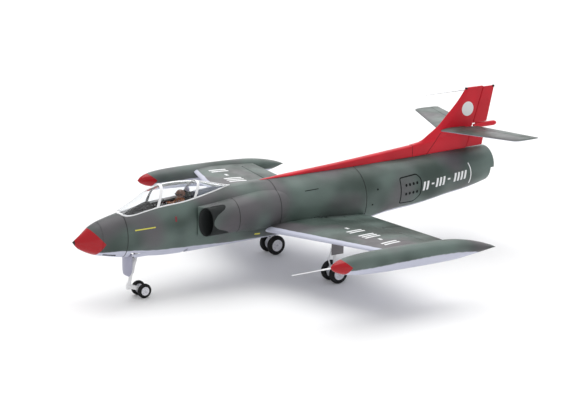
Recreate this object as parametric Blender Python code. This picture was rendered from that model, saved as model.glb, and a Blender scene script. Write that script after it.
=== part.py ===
"""Radio-controlled ducted-fan jet with tip tanks, retracting gear and a lift-off canopy hatch.

Frame: +X is the port (left) wing, +Y points aft, +Z up, the ground is Z = 0.
Lengths along the body are written as stations, in metres behind the nose tip.
"""
import math
import bpy
import bmesh
from mathutils import Matrix, Vector

# ---- driving dimensions (metres, degrees) --------------------------------------------
LENGTH = 1.313            # nose tip to the end of the tail bullet
GAP = 0.0003              # clearance between pieces that touch
SHELL = 0.003             # wall of the moulded fuselage
RIM = 24                  # points round a fuselage section

NOSE_JOINT = 0.066        # stations of the fuselage joints
FRONT_JOINT = 0.558
REAR_JOINT = 0.825
EXHAUST = 1.285

WHEEL_SIDES = 16
WHEEL_R = 0.0265          # main wheels
WHEEL_W = 0.015
WHEEL_X = 0.0185          # half the distance between twin wheels
NOSE_WHEEL_R = 0.0185
NOSE_WHEEL_W = 0.011
NOSE_WHEEL_X = 0.0165

# station, centre height, half width, half height, upper exponent, lower exponent
FUSELAGE = [
    (0.000, 0.1690, 0.0010, 0.0010, 2.0, 2.0),
    (0.010, 0.1657, 0.0080, 0.0110, 2.0, 2.0),
    (0.022, 0.1650, 0.0150, 0.0195, 2.0, 2.0),
    (0.047, 0.1673, 0.0285, 0.0347, 2.0, 2.0),
    (0.066, 0.1684, 0.0350, 0.0419, 2.0, 2.0),
    (0.085, 0.1690, 0.0395, 0.0470, 2.0, 2.0),
    (0.123, 0.1695, 0.0440, 0.0555, 2.0, 2.0),
    (0.213, 0.1728, 0.0480, 0.0707, 2.3, 2.2),
    (0.300, 0.1753, 0.0495, 0.0752, 2.3, 2.3),
    (0.350, 0.1762, 0.0510, 0.0758, 2.3, 2.3),
    (0.400, 0.1770, 0.0545, 0.0758, 2.3, 2.3),
    (0.480, 0.1790, 0.0630, 0.0752, 2.2, 2.4),
    (0.560, 0.1812, 0.0715, 0.0746, 2.0, 2.5),
    (0.640, 0.1815, 0.0745, 0.0748, 2.0, 2.5),
    (0.825, 0.1815, 0.0745, 0.0745, 2.0, 2.4),
    (0.920, 0.1875, 0.0695, 0.0695, 2.0, 2.2),
    (1.032, 0.1915, 0.0665, 0.0665, 2.0, 2.0),
    (1.124, 0.1985, 0.0605, 0.0605, 2.0, 2.0),
    (1.204, 0.2035, 0.0555, 0.0555, 2.0, 2.0),
    (1.285, 0.2120, 0.0460, 0.0460, 2.0, 2.0),
]

# intake fairing outside the fuselage: station, inner face, width, centre height, half height
FAIRING = [
    (0.338, 0.0535, 0.0350, 0.1885, 0.0385),
    (0.350, 0.0520, 0.0372, 0.1886, 0.0392),
    (0.425, 0.0420, 0.0480, 0.1890, 0.0440),
    (0.500, 0.0280, 0.0565, 0.1885, 0.0520),
    (0.560, 0.0140, 0.0620, 0.1870, 0.0560),
    (0.620, 0.0020, 0.0660, 0.1850, 0.0560),
]
# inlet duct, inside face: station, inner face, width, centre height, half height
DUCT = [
    (0.348, 0.0560, 0.0305, 0.1885, 0.0355),
    (0.420, 0.0430, 0.0390, 0.1890, 0.0370),
    (0.500, 0.0180, 0.0450, 0.2000, 0.0350),
    (0.570, 0.0014, 0.0500, 0.2150, 0.0300),
    (0.640, 0.0014, 0.0480, 0.2200, 0.0270),
    (0.705, 0.0014, 0.0480, 0.2190, 0.0270),
    (0.792, 0.0014, 0.0396, 0.1860, 0.0410),
]
DUCT_WALL = 0.0016
DUCT_ROWS = [0.3485, 0.420, 0.485, 0.530, 0.570, 0.640, 0.705, 0.735, 0.765, 0.792]

# half width of the canopy hatch seen from above
HATCH = [(0.123, 0.0005), (0.130, 0.0170), (0.145, 0.0250), (0.180, 0.0290), (0.240, 0.0310),
         (0.300, 0.0310), (0.350, 0.0265), (0.403, 0.0165), (0.449, 0.0005)]
HATCH_MID = 0.286
HATCH_COUNT = 28
# height of the canopy's top line
CANOPY = [(0.123, 0.2270), (0.145, 0.2370), (0.174, 0.2520), (0.205, 0.2705), (0.239, 0.2815),
          (0.283, 0.2845), (0.326, 0.2820), (0.360, 0.2760), (0.393, 0.2675), (0.449, 0.2520)]
WINDSCREEN_BOW = 0.222
REAR_BOW = 0.329
BOW_LEAN = 0.020

# wing and tail surfaces, as (span position, leading edge, trailing edge, height, thickness ratio)
WING_ROOT = (0.0735, 0.5215, 0.8230, 0.1400, 0.100)
WING_TIP = (0.4430, 0.6040, 0.7990, 0.1670, 0.085)
HINGE_CHORD = 0.76        # flap and aileron hinge line, as a fraction of the chord
FLAP_SPAN = (0.0850, 0.2500)
AILERON_SPAN = (0.2530, 0.4240)
SPAR_S = 0.600
TAIL_ROOT = (0.0000, 1.1160, 1.2370, 0.3170, 0.085)
TAIL_TIP = (0.2270, 1.1985, 1.2800, 0.3235, 0.080)
TAIL_HINGE_CHORD = 0.70
ELEVATOR_SPAN = (0.0110, 0.2200)

TANK_X = 0.470
# tip tank: station, sideways shift, half width, half height, centre height
TANK = [
    (0.4400, 0.0000, 0.0008, 0.0008, 0.1590),
    (0.4490, 0.0000, 0.0090, 0.0090, 0.1586),
    (0.4680, 0.0000, 0.0172, 0.0172, 0.1580),
    (0.5010, 0.0000, 0.0232, 0.0232, 0.1570),
    (0.5460, 0.0000, 0.0265, 0.0265, 0.1558),
    (0.6100, 0.0000, 0.0280, 0.0280, 0.1545),
    (0.7400, 0.0000, 0.0280, 0.0278, 0.1522),
    (0.8050, 0.0010, 0.0276, 0.0250, 0.1508),
    (0.8520, 0.0040, 0.0246, 0.0180, 0.1496),
    (0.8900, 0.0090, 0.0196, 0.0095, 0.1480),
    (0.9160, 0.0140, 0.0150, 0.0012, 0.1468),
]

# dorsal spine top line: station, height
SPINE = [(0.538, 0.2560), (0.575, 0.2590), (0.611, 0.2615), (0.760, 0.2695),
         (0.900, 0.2795), (1.020, 0.2885)]
SPINE_W = 0.009
FIN_START = 1.020
# fin leading edge: height, station
FIN_EDGE = [(0.2885, 1.020), (0.2935, 1.048), (0.3105, 1.079), (0.3310, 1.111),
            (0.3600, 1.142), (0.3910, 1.174), (0.4270, 1.203)]
FIN_TOP = 0.427
RUDDER_FOOT = (1.209, 0.258)      # ends of the rudder hinge line: station, height
RUDDER_HEAD = (1.2645, 0.4245)
BULLET_Z = 0.3175
BULLET_R = 0.007

# landing gear pivots
MAIN_X = 0.1475
MAIN_S = 0.675
MAIN_PIVOT_Z = 0.145
NOSE_PIVOT = (0.178, 0.126)       # station, height
NOSE_FORK = (0.152, 0.027)
NOSE_AXLE_S = 0.190
LINK_PIVOT = (0.1565, 0.032)

FAN_S = 0.826
FAN_Z = 0.186
FAN_R = 0.041
TUBE_SIDES = 24


# ---- mesh helpers ---------------------------------------------------------------------
def at(x, station, z):
    """A point in the part's frame from its sideways place, station and height."""
    return Vector((x, station - LENGTH / 2, z))


def curve(rows, key):
    """Smooth values between the rows of a table whose first column is the key."""
    key = min(max(key, rows[0][0]), rows[-1][0])
    i = max(k for k in range(len(rows) - 1) if rows[k][0] <= key or k == 0)
    low, high = rows[i], rows[i + 1]
    step = high[0] - low[0]
    t = (key - low[0]) / step

    def slope(k, c):
        if k == 0 or k == len(rows) - 1:
            j = min(k, len(rows) - 2)
            return (rows[j + 1][c] - rows[j][c]) / (rows[j + 1][0] - rows[j][0])
        return (rows[k + 1][c] - rows[k - 1][c]) / (rows[k + 1][0] - rows[k - 1][0])

    values = []
    for c in range(1, len(low)):
        m0, m1 = slope(i, c) * step, slope(i + 1, c) * step
        values.append((2 * t**3 - 3 * t**2 + 1) * low[c] + (t**3 - 2 * t**2 + t) * m0
                      + (3 * t**2 - 2 * t**3) * high[c] + (t**3 - t**2) * m1)
    return values


def power(value, exponent):
    return math.copysign(abs(value) ** exponent, value)


def material(name, colour, roughness=0.5, metallic=0.0, alpha=1.0):
    mat = bpy.data.materials.get(name)
    if mat is None:
        mat = bpy.data.materials.new(name)
        mat.use_nodes = True
        shader = mat.node_tree.nodes["Principled BSDF"]
        shader.inputs["Base Color"].default_value = (*colour, 1.0)
        shader.inputs["Roughness"].default_value = roughness
        shader.inputs["Metallic"].default_value = metallic
        shader.inputs["Alpha"].default_value = alpha
    return mat


CAMO = ("painted_camouflage", (0.10, 0.15, 0.13), 0.55)
RED = ("red_paint", (0.60, 0.03, 0.04), 0.40)
WHITE = ("white_plastic", (0.80, 0.80, 0.82), 0.40)
GREY = ("grey_paint", (0.42, 0.42, 0.50), 0.50)
BLACK = ("black_plastic", (0.02, 0.02, 0.022), 0.50)
RUBBER = ("rubber", (0.012, 0.012, 0.013), 0.85)
METAL = ("aluminium", (0.70, 0.71, 0.73), 0.30, 1.0)
CLEAR = ("clear_plastic", (0.90, 0.92, 0.94), 0.05, 0.0, 0.3)
CARBON = ("carbon_tube", (0.02, 0.02, 0.02), 0.35)
FABRIC = ("pilot_fabric", (0.20, 0.22, 0.14), 0.80)
BLUE = ("battery_wrap", (0.03, 0.10, 0.30), 0.45)


def make(name, bm, look, origin=None, cutter=False):
    """Turn a bmesh into an object whose origin lies at the given point."""
    bmesh.ops.remove_doubles(bm, verts=bm.verts, dist=1e-6)
    bmesh.ops.recalc_face_normals(bm, faces=bm.faces)
    mesh = bpy.data.meshes.new(name)
    origin = Vector(origin) if origin else Vector((0.0, 0.0, 0.0))
    bm.transform(Matrix.Translation(-origin))
    bm.to_mesh(mesh)
    bm.free()
    obj = bpy.data.objects.new(name, mesh)
    obj.location = origin
    bpy.context.collection.objects.link(obj)
    if cutter:
        obj.hide_render = True
        obj.display_type = 'WIRE'
    else:
        mesh.materials.append(material(*look))
        mesh.shade_smooth()
        mesh.set_sharp_from_angle(angle=math.radians(35))
    return obj


def boolean(obj, other, operation='DIFFERENCE'):
    modifier = obj.modifiers.new(operation.lower(), 'BOOLEAN')
    modifier.operation = operation
    modifier.solver = 'EXACT'
    modifier.object = other


def follow(child, parent):
    """Parent a piece without moving it."""
    child.parent = parent
    child.matrix_parent_inverse = Matrix.Translation(-Vector(parent.location))


def add_loft(bm, rings, capped=(True, True)):
    """Skin a list of closed rings, each with the same number of points."""
    loops = [[bm.verts.new(p) for p in ring] for ring in rings]
    count = len(loops[0])
    for low, high in zip(loops, loops[1:]):
        for i in range(count):
            j = (i + 1) % count
            bm.faces.new((low[i], low[j], high[j], high[i]))
    if capped[0]:
        bm.faces.new(loops[0])
    if capped[1]:
        bm.faces.new(loops[-1])
    return loops


def join_rings(bm, outer, inner):
    """Close the flat band between two rings with the same number of points."""
    count = len(outer)
    for i in range(count):
        j = (i + 1) % count
        bm.faces.new((outer[i], outer[j], inner[j], inner[i]))


def solid(rings):
    bm = bmesh.new()
    add_loft(bm, rings)
    return bm


def shell(outer, inner, front_open=True, back_open=True):
    """A wall between an outer and an inner skin, open or closed at each end."""
    bm = bmesh.new()
    skin = add_loft(bm, outer, (not front_open, not back_open))
    lining = add_loft(bm, inner, (not front_open, not back_open))
    if front_open:
        join_rings(bm, skin[0], lining[0])
    if back_open:
        join_rings(bm, skin[-1], lining[-1])
    return bm


def add_box(bm, low, high):
    """A box between two corners given as (x, station, z)."""
    corners = [at(x, s, z) for x in (low[0], high[0]) for s in (low[1], high[1]) for z in (low[2], high[2])]
    v = [bm.verts.new(c) for c in corners]
    for face in ((0, 1, 3, 2), (4, 6, 7, 5), (0, 4, 5, 1), (2, 3, 7, 6), (0, 2, 6, 4), (1, 5, 7, 3)):
        bm.faces.new([v[i] for i in face])


def box(low, high, bevel=0.0):
    bm = bmesh.new()
    add_box(bm, low, high)
    if bevel:
        bmesh.ops.bevel(bm, geom=bm.edges[:], offset=bevel, segments=1, affect='EDGES')
    return bm


def rod_rings(start, end, radii, sides=12):
    """Rings of the given radii, evenly spread or placed by (fraction, radius) pairs."""
    start, end = Vector(start), Vector(end)
    axis = (end - start).normalized()
    side = axis.orthogonal().normalized()
    other = axis.cross(side)
    rings = []
    for fraction, radius in radii:
        centre = start.lerp(end, fraction)
        rings.append([centre + side * radius * math.cos(2 * math.pi * k / sides)
                      + other * radius * math.sin(2 * math.pi * k / sides) for k in range(sides)])
    return rings


def rod(start, end, radius, sides=12):
    return solid(rod_rings(start, end, [(0.0, radius), (1.0, radius)], sides))


def merge(name, first, others, look, origin=None):
    """One closed body from overlapping solids: the others are united into the first."""
    obj = make(name, first, look, origin)
    for number, bm in enumerate(others):
        boolean(obj, make(f"{name}_part_{number}", bm, look, cutter=True), 'UNION')
    return obj


# ---- sections -------------------------------------------------------------------------
def body_section(station, grow=0.0, count=RIM):
    zc, a, b, n_up, n_down = curve(FUSELAGE, station)
    ring = []
    for k in range(count):
        t = 2 * math.pi * k / count
        n = n_up if math.sin(t) >= 0 else n_down
        ring.append(at((a + grow) * power(math.cos(t), 2 / n), station,
                       zc + (b + grow) * power(math.sin(t), 2 / n)))
    return ring


def body_top(x, station, grow=0.0):
    """Height of the fuselage's upper surface at a sideways place."""
    zc, a, b, n_up, _ = curve(FUSELAGE, station)
    return zc + (b + grow) * max(0.0, 1 - (abs(x) / (a + grow)) ** n_up) ** (1 / n_up)


def half_turn(steps):
    """Angles from a quarter turn below to a quarter turn above."""
    return [math.pi * (k / steps - 0.5) for k in range(steps + 1)]


def stations(first, last, steps):
    return [first + (last - first) * k / steps for k in range(steps + 1)]


def body_block(first, last, steps, grow=0.0):
    return solid([body_section(s, grow) for s in stations(first, last, steps)])


def duct_section(side, station, grow=0.0):
    face, width, zc, height = curve(DUCT, station)
    ring = []
    for k in range(10):
        t = math.pi * (k / 9 - 0.5)
        x = face - grow + (width + 2 * grow) * power(max(0.0, math.cos(t)), 0.9)
        ring.append(at(side * x, station, zc + (height + grow) * power(math.sin(t), 0.9)))
    return ring


def fairing_section(side, station, grow=0.0):
    face, width, zc, height = curve(FAIRING, station)
    ring = []
    for k in range(12):
        t = math.pi * (k / 11 - 0.5)
        x = face - grow + (width + 2 * grow) * power(max(0.0, math.cos(t)), 0.85)
        ring.append(at(side * x, station, zc + (height + grow) * power(math.sin(t), 0.9)))
    return ring


def foil(fraction):
    """Half thickness of a symmetrical aerofoil of thickness one, along its chord."""
    x = fraction
    return 5 * (0.2969 * math.sqrt(x) - 0.1260 * x - 0.3516 * x**2 + 0.2843 * x**3 - 0.1015 * x**4)


def span_row(root, tip, x):
    """Leading edge, trailing edge, height and thickness ratio at a span position."""
    t = (x - root[0]) / (tip[0] - root[0])
    return [a + (b - a) * t for a, b in zip(root[1:], tip[1:])]


def foil_section(side, root, tip, x, points=8):
    le, te, z, ratio = span_row(root, tip, x)
    chord = te - le
    fractions = [(k / points) ** 1.7 for k in range(points + 1)]
    upper = [at(side * x, le + f * chord, z + ratio * chord * foil(f)) for f in fractions]
    lower = [at(side * x, le + f * chord, z - ratio * chord * foil(f)) for f in fractions[1:]]
    return upper + lower[::-1]


def hinge_point(root, tip, x, fraction):
    le, te, z, ratio = span_row(root, tip, x)
    return le + fraction * (te - le), z, ratio * (te - le) * foil(fraction), te


# ---- fuselage -------------------------------------------------------------------------
def make_nose_cone():
    tips = [0.0, 0.004, 0.012, 0.024, 0.038, 0.052, NOSE_JOINT]
    return make("nose_cone", solid([body_section(s) for s in tips]), RED)


def hatch_outline(scale_x=1.0, scale_s=1.0, count=HATCH_COUNT):
    """Plan view of the hatch as (x, station) pairs, starting at the front point."""
    half = count // 2
    pairs = []
    for k in range(count):
        t = abs(half - k) / half
        t = 0.5 - 0.5 * math.cos(math.pi * t)
        station = HATCH[-1][0] - (HATCH[-1][0] - HATCH[0][0]) * t
        width = curve(HATCH, station)[0] * (1 if 0 < k < half else -1 if k > half else 0)
        pairs.append((width * scale_x, HATCH_MID + (station - HATCH_MID) * scale_s))
    return pairs


def hatch_rings(scale_x, scale_s, rise, count=HATCH_COUNT):
    """Points over the hatch outline at a rise above the fuselage skin."""
    edge = hatch_outline(1.0, 1.0, count)
    plan = hatch_outline(scale_x, scale_s, count)
    return [at(x, s, body_top(ex, es) + rise) for (x, s), (ex, es) in zip(plan, edge)]


def flat_rings(scale_x, scale_s, z, count=HATCH_COUNT, grow=0.0):
    plan = hatch_outline(scale_x, scale_s, count)
    ring = []
    for x, s in plan:
        push = math.copysign(grow, x) if abs(x) > 1e-4 else 0.0
        ring.append(at(x + push, s + (grow if s > HATCH_MID else -grow), z))
    return ring


def make_fuselage():
    front_s = [NOSE_JOINT + GAP, 0.085, 0.105, 0.123, 0.150, 0.180, 0.213, 0.255, 0.300, 0.350,
               0.400, 0.440, 0.480, 0.520, FRONT_JOINT]
    inner_s = [s if s > 0.08 else NOSE_JOINT + SHELL for s in front_s]
    lining = [body_section(s, -SHELL) for s in inner_s]
    front = make("fuselage_front", shell([body_section(s) for s in front_s], lining, front_open=False), CAMO)
    mid_s = stations(FRONT_JOINT + GAP, REAR_JOINT, 4)
    mid = make("fuselage_mid", shell([body_section(s) for s in mid_s],
                                     [body_section(s, -SHELL) for s in mid_s]), CAMO)
    rear_s = stations(REAR_JOINT + GAP, EXHAUST, 9)
    rear = make("fuselage_rear", shell([body_section(s) for s in rear_s],
                                       [body_section(s, -SHELL) for s in rear_s]), CAMO)

    hatch_hole = make("hatch_hole", solid([flat_rings(1, 1, 0.214, grow=0.0005),
                                           flat_rings(1, 1, 0.300, grow=0.0005)]), CAMO, cutter=True)
    boolean(front, hatch_hole)
    nose_bay = make("nose_bay", box((-0.0330, 0.1438, 0.0900), (0.0330, 0.3070, 0.1450)), CAMO, cutter=True)
    boolean(front, nose_bay)
    for side in (1, -1):
        hole = make(f"duct_hole_{side}", solid([duct_section(side, s, DUCT_WALL + 0.0006)
                                                for s in [0.3400] + DUCT_ROWS[:5]]), CAMO, cutter=True)
        boolean(front, hole)
        notch = make(f"rim_notch_{side}",
                     box((0.030 * side, 1.2735, 0.2000), (0.060 * side, 1.3000, 0.2075)), CAMO, cutter=True)
        boolean(rear, notch)
    wheel_bay = make("wheel_bay", box((-0.0600, 0.6440, 0.0900), (0.0600, 0.7060, 0.1500)),
                     CAMO, cutter=True)
    boolean(mid, wheel_bay)
    leg_slot = make("leg_slot", box((-0.0800, 0.6640, 0.1100), (0.0800, 0.6860, 0.1570)), CAMO, cutter=True)
    boolean(mid, leg_slot)
    boolean(mid, make("spar_hole", solid(spar_rings(0.0046, 0.1500)), CAMO, cutter=True))
    return front, mid, rear


def make_intake(side, name):
    """Fairing that stands off the fuselage, with the duct's mouth in it."""
    rows = [0.338, 0.341, 0.350, 0.385, 0.425, 0.465, 0.500, 0.535, 0.570, 0.600, 0.620]
    fairing = make(f"intake_fairing_{name}", solid([fairing_section(side, s) for s in rows]), CAMO)
    cut_s = [0.330] + DUCT_ROWS[:6]
    hole = make(f"fairing_hole_{name}", solid([duct_section(side, s, DUCT_WALL + 0.0010) for s in cut_s]),
                CAMO, cutter=True)
    boolean(fairing, hole)
    body = make(f"fairing_body_{name}", body_block(0.320, 0.640, 12, GAP + 0.0002), CAMO, cutter=True)
    boolean(fairing, body)
    return fairing


def make_duct():
    sides = []
    for side in (1, -1):
        sides.append(shell([duct_section(side, s, DUCT_WALL) for s in DUCT_ROWS],
                           [duct_section(side, s) for s in DUCT_ROWS]))
    return merge("inlet_duct", sides[0], [sides[1]], GREY)


def make_spine():
    rings = []
    for s in stations(SPINE[0][0], SPINE[-1][0] - GAP, 8):
        top = curve(SPINE, s)[0]
        half = SPINE_W * min(1.0, 0.35 + (s - SPINE[0][0]) / 0.12)
        arc = [at(half * math.cos(t), s, top - half * 0.6 + half * 0.6 * math.sin(t))
               for t in [math.pi * k / 6 for k in range(7)]]
        rings.append([at(half, s, 0.240)] + arc + [at(-half, s, 0.240)])
    spine = make("spine_fairing", solid(rings), RED)
    body = make("spine_saddle", body_block(0.520, 1.060, 10, GAP + 0.0002), CAMO, cutter=True)
    boolean(spine, body)
    return spine


def rudder_line(z):
    (s0, z0), (s1, z1) = RUDDER_FOOT, RUDDER_HEAD
    return s0 + (s1 - s0) * (z - z0) / (z1 - z0)


def fin_half(z):
    """Half thickness of the fin at a height."""
    return 0.0068 - 0.0035 * (z - 0.25) / (FIN_TOP - 0.25)


def make_fin():
    chord = [0.0, 0.03, 0.10, 0.25, 0.45, 0.70, 1.0]
    rings = []
    for z in [0.238, 0.262, 0.2885, 0.2935, 0.3105, 0.331, 0.360, 0.391, FIN_TOP]:
        front = FIN_START if z <= FIN_EDGE[0][0] else curve(FIN_EDGE, z)[0]
        back = rudder_line(z) - 0.0052
        blunt = 1.0 if z <= FIN_EDGE[0][0] else 0.12
        upper = []
        for c in chord:
            if c < 0.25:
                shape = blunt + (1 - blunt) * math.sqrt(c / 0.25)
            else:
                shape = 1.0 - 0.28 * (c - 0.25)
            wide = SPINE_W if z < 0.290 else fin_half(z)
            half = wide * (1 - c) + fin_half(z) * c
            upper.append((half * shape, front + c * (back - front)))
        rings.append([at(x, s, z) for x, s in upper] + [at(-x, s, z) for x, s in upper[::-1]])
    fin = make("fin", solid(rings), RED)
    saddle = make("fin_saddle", body_block(1.000, EXHAUST, 8, GAP + 0.0002), CAMO, cutter=True)
    boolean(fin, saddle)
    slot = make("fin_slot", stabilizer_block(0.016, 0.0004), CAMO, cutter=True)
    boolean(fin, slot)
    return fin


def rudder_panel(name, z_low, z_high, aft_low, aft_high):
    """Rudder with a round nose on the hinge line; its trailing edge runs between two stations."""
    rings = []
    for z, aft in ((z_low, aft_low), (z_high, aft_high)):
        hinge = rudder_line(z)
        r = fin_half(z) * 0.72
        nose = [(r * math.sin(t), hinge - r * math.cos(t)) for t in half_turn(8)]
        rings.append([at(x, s, z) for x, s in nose] + [at(0.0007, aft, z), at(-0.0007, aft, z)])
    origin = at(0.0, rudder_line(z_low), z_low)
    return make(name, solid(rings), RED, origin)


def stabilizer_block(reach, grow=0.0):
    rings = []
    for x in (-reach, 0.0, reach):
        le, te, z, ratio = span_row(TAIL_ROOT, TAIL_TIP, abs(x))
        chord = te - le
        fractions = [(k / 8) ** 1.7 for k in range(7)] + [TAIL_HINGE_CHORD]
        pts = [(le - grow + f * (chord + grow), ratio * chord * foil(f) + grow) for f in fractions]
        rings.append([at(x, s, z + h) for s, h in pts] + [at(x, s, z - h) for s, h in pts[::-1]])
    return solid(rings)


def make_stabilizer():
    rings = []
    for x in (-0.2270, -0.2235, -0.2100, 0.0, 0.2100, 0.2235, 0.2270):
        le, te, z, ratio = span_row(TAIL_ROOT, TAIL_TIP, abs(x))
        round_tip = 0.0 if abs(x) < 0.215 else (0.006 if abs(x) < 0.225 else 0.016)
        le += round_tip
        chord = te - le - round_tip * 0.4
        fr = [(k / 8) ** 1.7 for k in range(9)]
        pts = [(le + f * chord, ratio * chord * foil(f)) for f in fr]
        rings.append([at(x, s, z + h) for s, h in pts] + [at(x, s, z - h) for s, h in pts[:0:-1]])
    stab = make("stabilizer", solid(rings), CAMO)
    for side in (1, -1):
        bm = bmesh.new()
        corners = []
        for x in (0.0, ELEVATOR_SPAN[1] + 0.001):
            hinge, z, half, te = hinge_point(TAIL_ROOT, TAIL_TIP, x, TAIL_HINGE_CHORD)
            corners.append((x, hinge - half - 0.0009, te + 0.03))
        (x0, f0, b0), (x1, f1, b1) = corners
        bottom = [at(side * x0, f0, 0.30), at(side * x1, f1, 0.30),
                  at(side * x1, b1, 0.30), at(side * x0, b0, 0.30)]
        top = [Vector((p.x, p.y, 0.34)) for p in bottom]
        add_loft(bm, [bottom, top])
        boolean(stab, make(f"elevator_bay_{side}", bm, CAMO, cutter=True))
    return stab


def surface(name, side, root, tip, span, fraction, look):
    """Control surface with a round nose centred on its hinge line."""
    rings = []
    for x in span:
        hinge, z, half, te = hinge_point(root, tip, x, fraction)
        nose = [(hinge - half * math.cos(t), z + half * math.sin(t)) for t in half_turn(8)]
        rings.append([at(side * x, s, h) for s, h in nose[::-1]]
                     + [at(side * x, te, z - 0.0007), at(side * x, te, z + 0.0007)])
    hinge, z, _, _ = hinge_point(root, tip, span[0], fraction)
    return make(name, solid(rings), look, at(side * span[0], hinge, z))


def make_bullet():
    start, end = at(0, 1.2345, BULLET_Z), at(0, LENGTH, BULLET_Z)
    radii = [(0.0, 0.0045), (0.15, 0.0062), (0.45, BULLET_R), (0.88, BULLET_R), (0.96, 0.0056), (1.0, 0.0024)]
    return make("tail_bullet", solid(rod_rings(start, end, radii, 14)), RED)


# ---- wings and tanks ------------------------------------------------------------------
def tank_section(side, station, grow=0.0, count=14):
    shift, a, b, z = curve(TANK, station)
    return [at(side * (TANK_X + shift) + (a + grow) * math.cos(2 * math.pi * k / count), station,
               z + (b + grow) * math.sin(2 * math.pi * k / count)) for k in range(count)]


def make_tank(side, name):
    rows = [0.440, 0.445, 0.456, 0.473, 0.501, 0.546, 0.610, 0.740, 0.805, 0.852, 0.890, 0.916]
    return make(f"tip_tank_{name}", solid([tank_section(side, s) for s in rows]), CAMO)


def spar_height(x):
    return span_row(WING_ROOT, WING_TIP, abs(x))[2] + 0.001


def spar_rings(radius, reach):
    rings = []
    for x in (-reach, 0.0, reach):
        z = spar_height(x)
        rings.append([at(x, SPAR_S + radius * math.cos(2 * math.pi * k / 10),
                         z + radius * math.sin(2 * math.pi * k / 10)) for k in range(10)])
    return rings


def make_wing(side, name):
    ends = [foil_section(side, WING_ROOT, WING_TIP, x) for x in (0.040, 0.461)]
    wing = make(f"wing_{name}", solid(ends), CAMO)
    body = make(f"wing_root_cut_{name}", body_block(0.480, 0.860, 12, GAP + 0.0002), CAMO, cutter=True)
    boolean(wing, body)
    nacelle = make(f"wing_fairing_cut_{name}", solid([fairing_section(side, s, GAP + 0.0002)
                                                      for s in stations(0.480, 0.620, 5)]), CAMO, cutter=True)
    boolean(wing, nacelle)
    rows = stations(0.520, 0.880, 8)
    tank = make(f"wing_tip_cut_{name}", solid([tank_section(side, s, GAP + 0.0002) for s in rows]),
                CAMO, cutter=True)
    boolean(wing, tank)
    outer = make(f"wing_beyond_{name}", box((side * 0.4700, 0.50, 0.10), (side * 0.4900, 0.90, 0.20)),
                 CAMO, cutter=True)
    boolean(wing, outer)
    bay = bmesh.new()
    corners = []
    for x in (FLAP_SPAN[0] - 0.001, AILERON_SPAN[1] + 0.001):
        hinge, z, half, te = hinge_point(WING_ROOT, WING_TIP, x, HINGE_CHORD)
        corners.append((side * x, hinge - half - 0.0008, te + 0.05))
    (x0, f0, b0), (x1, f1, b1) = corners
    floor = [at(x0, f0, 0.10), at(x1, f1, 0.10), at(x1, b1, 0.10), at(x0, b0, 0.10)]
    add_loft(bay, [floor, [Vector((p.x, p.y, 0.22)) for p in floor]])
    boolean(wing, make(f"surface_bay_{name}", bay, CAMO, cutter=True))
    well = make(f"gear_well_{name}", box((side * 0.0500, 0.6535, 0.1000), (side * 0.1780, 0.6965, 0.1530)),
                CAMO, cutter=True)
    boolean(wing, well)
    bore = make(f"spar_bore_{name}", solid(spar_rings(0.0046, 0.2560)), CAMO, cutter=True)
    boolean(wing, bore)
    return wing


def make_probe(name, base, tip, look):
    """Air-data boom: a stout root and a thin needle."""
    base, tip = Vector(base), Vector(tip)
    radii = [(0.0, 0.0022), (0.20, 0.0019), (0.24, 0.0009), (1.0, 0.0006)]
    return make(name, solid(rod_rings(base, tip, radii, 8)), look)


# ---- canopy hatch ---------------------------------------------------------------------
def canopy_arch(scale, station, steps=10, drop=0.0, base_rise=0.0022):
    """Half loop over the cockpit at a station, from port sill to starboard sill."""
    half = curve(HATCH, station)[0] * scale
    sill = body_top(curve(HATCH, station)[0], station) + base_rise
    top = max(curve(CANOPY, station)[0] - drop, sill + 0.001)
    return [(half * power(math.cos(t), 0.85), sill + (top - sill) * power(math.sin(t), 0.85))
            for t in [math.pi * k / steps for k in range(steps + 1)]]


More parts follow.
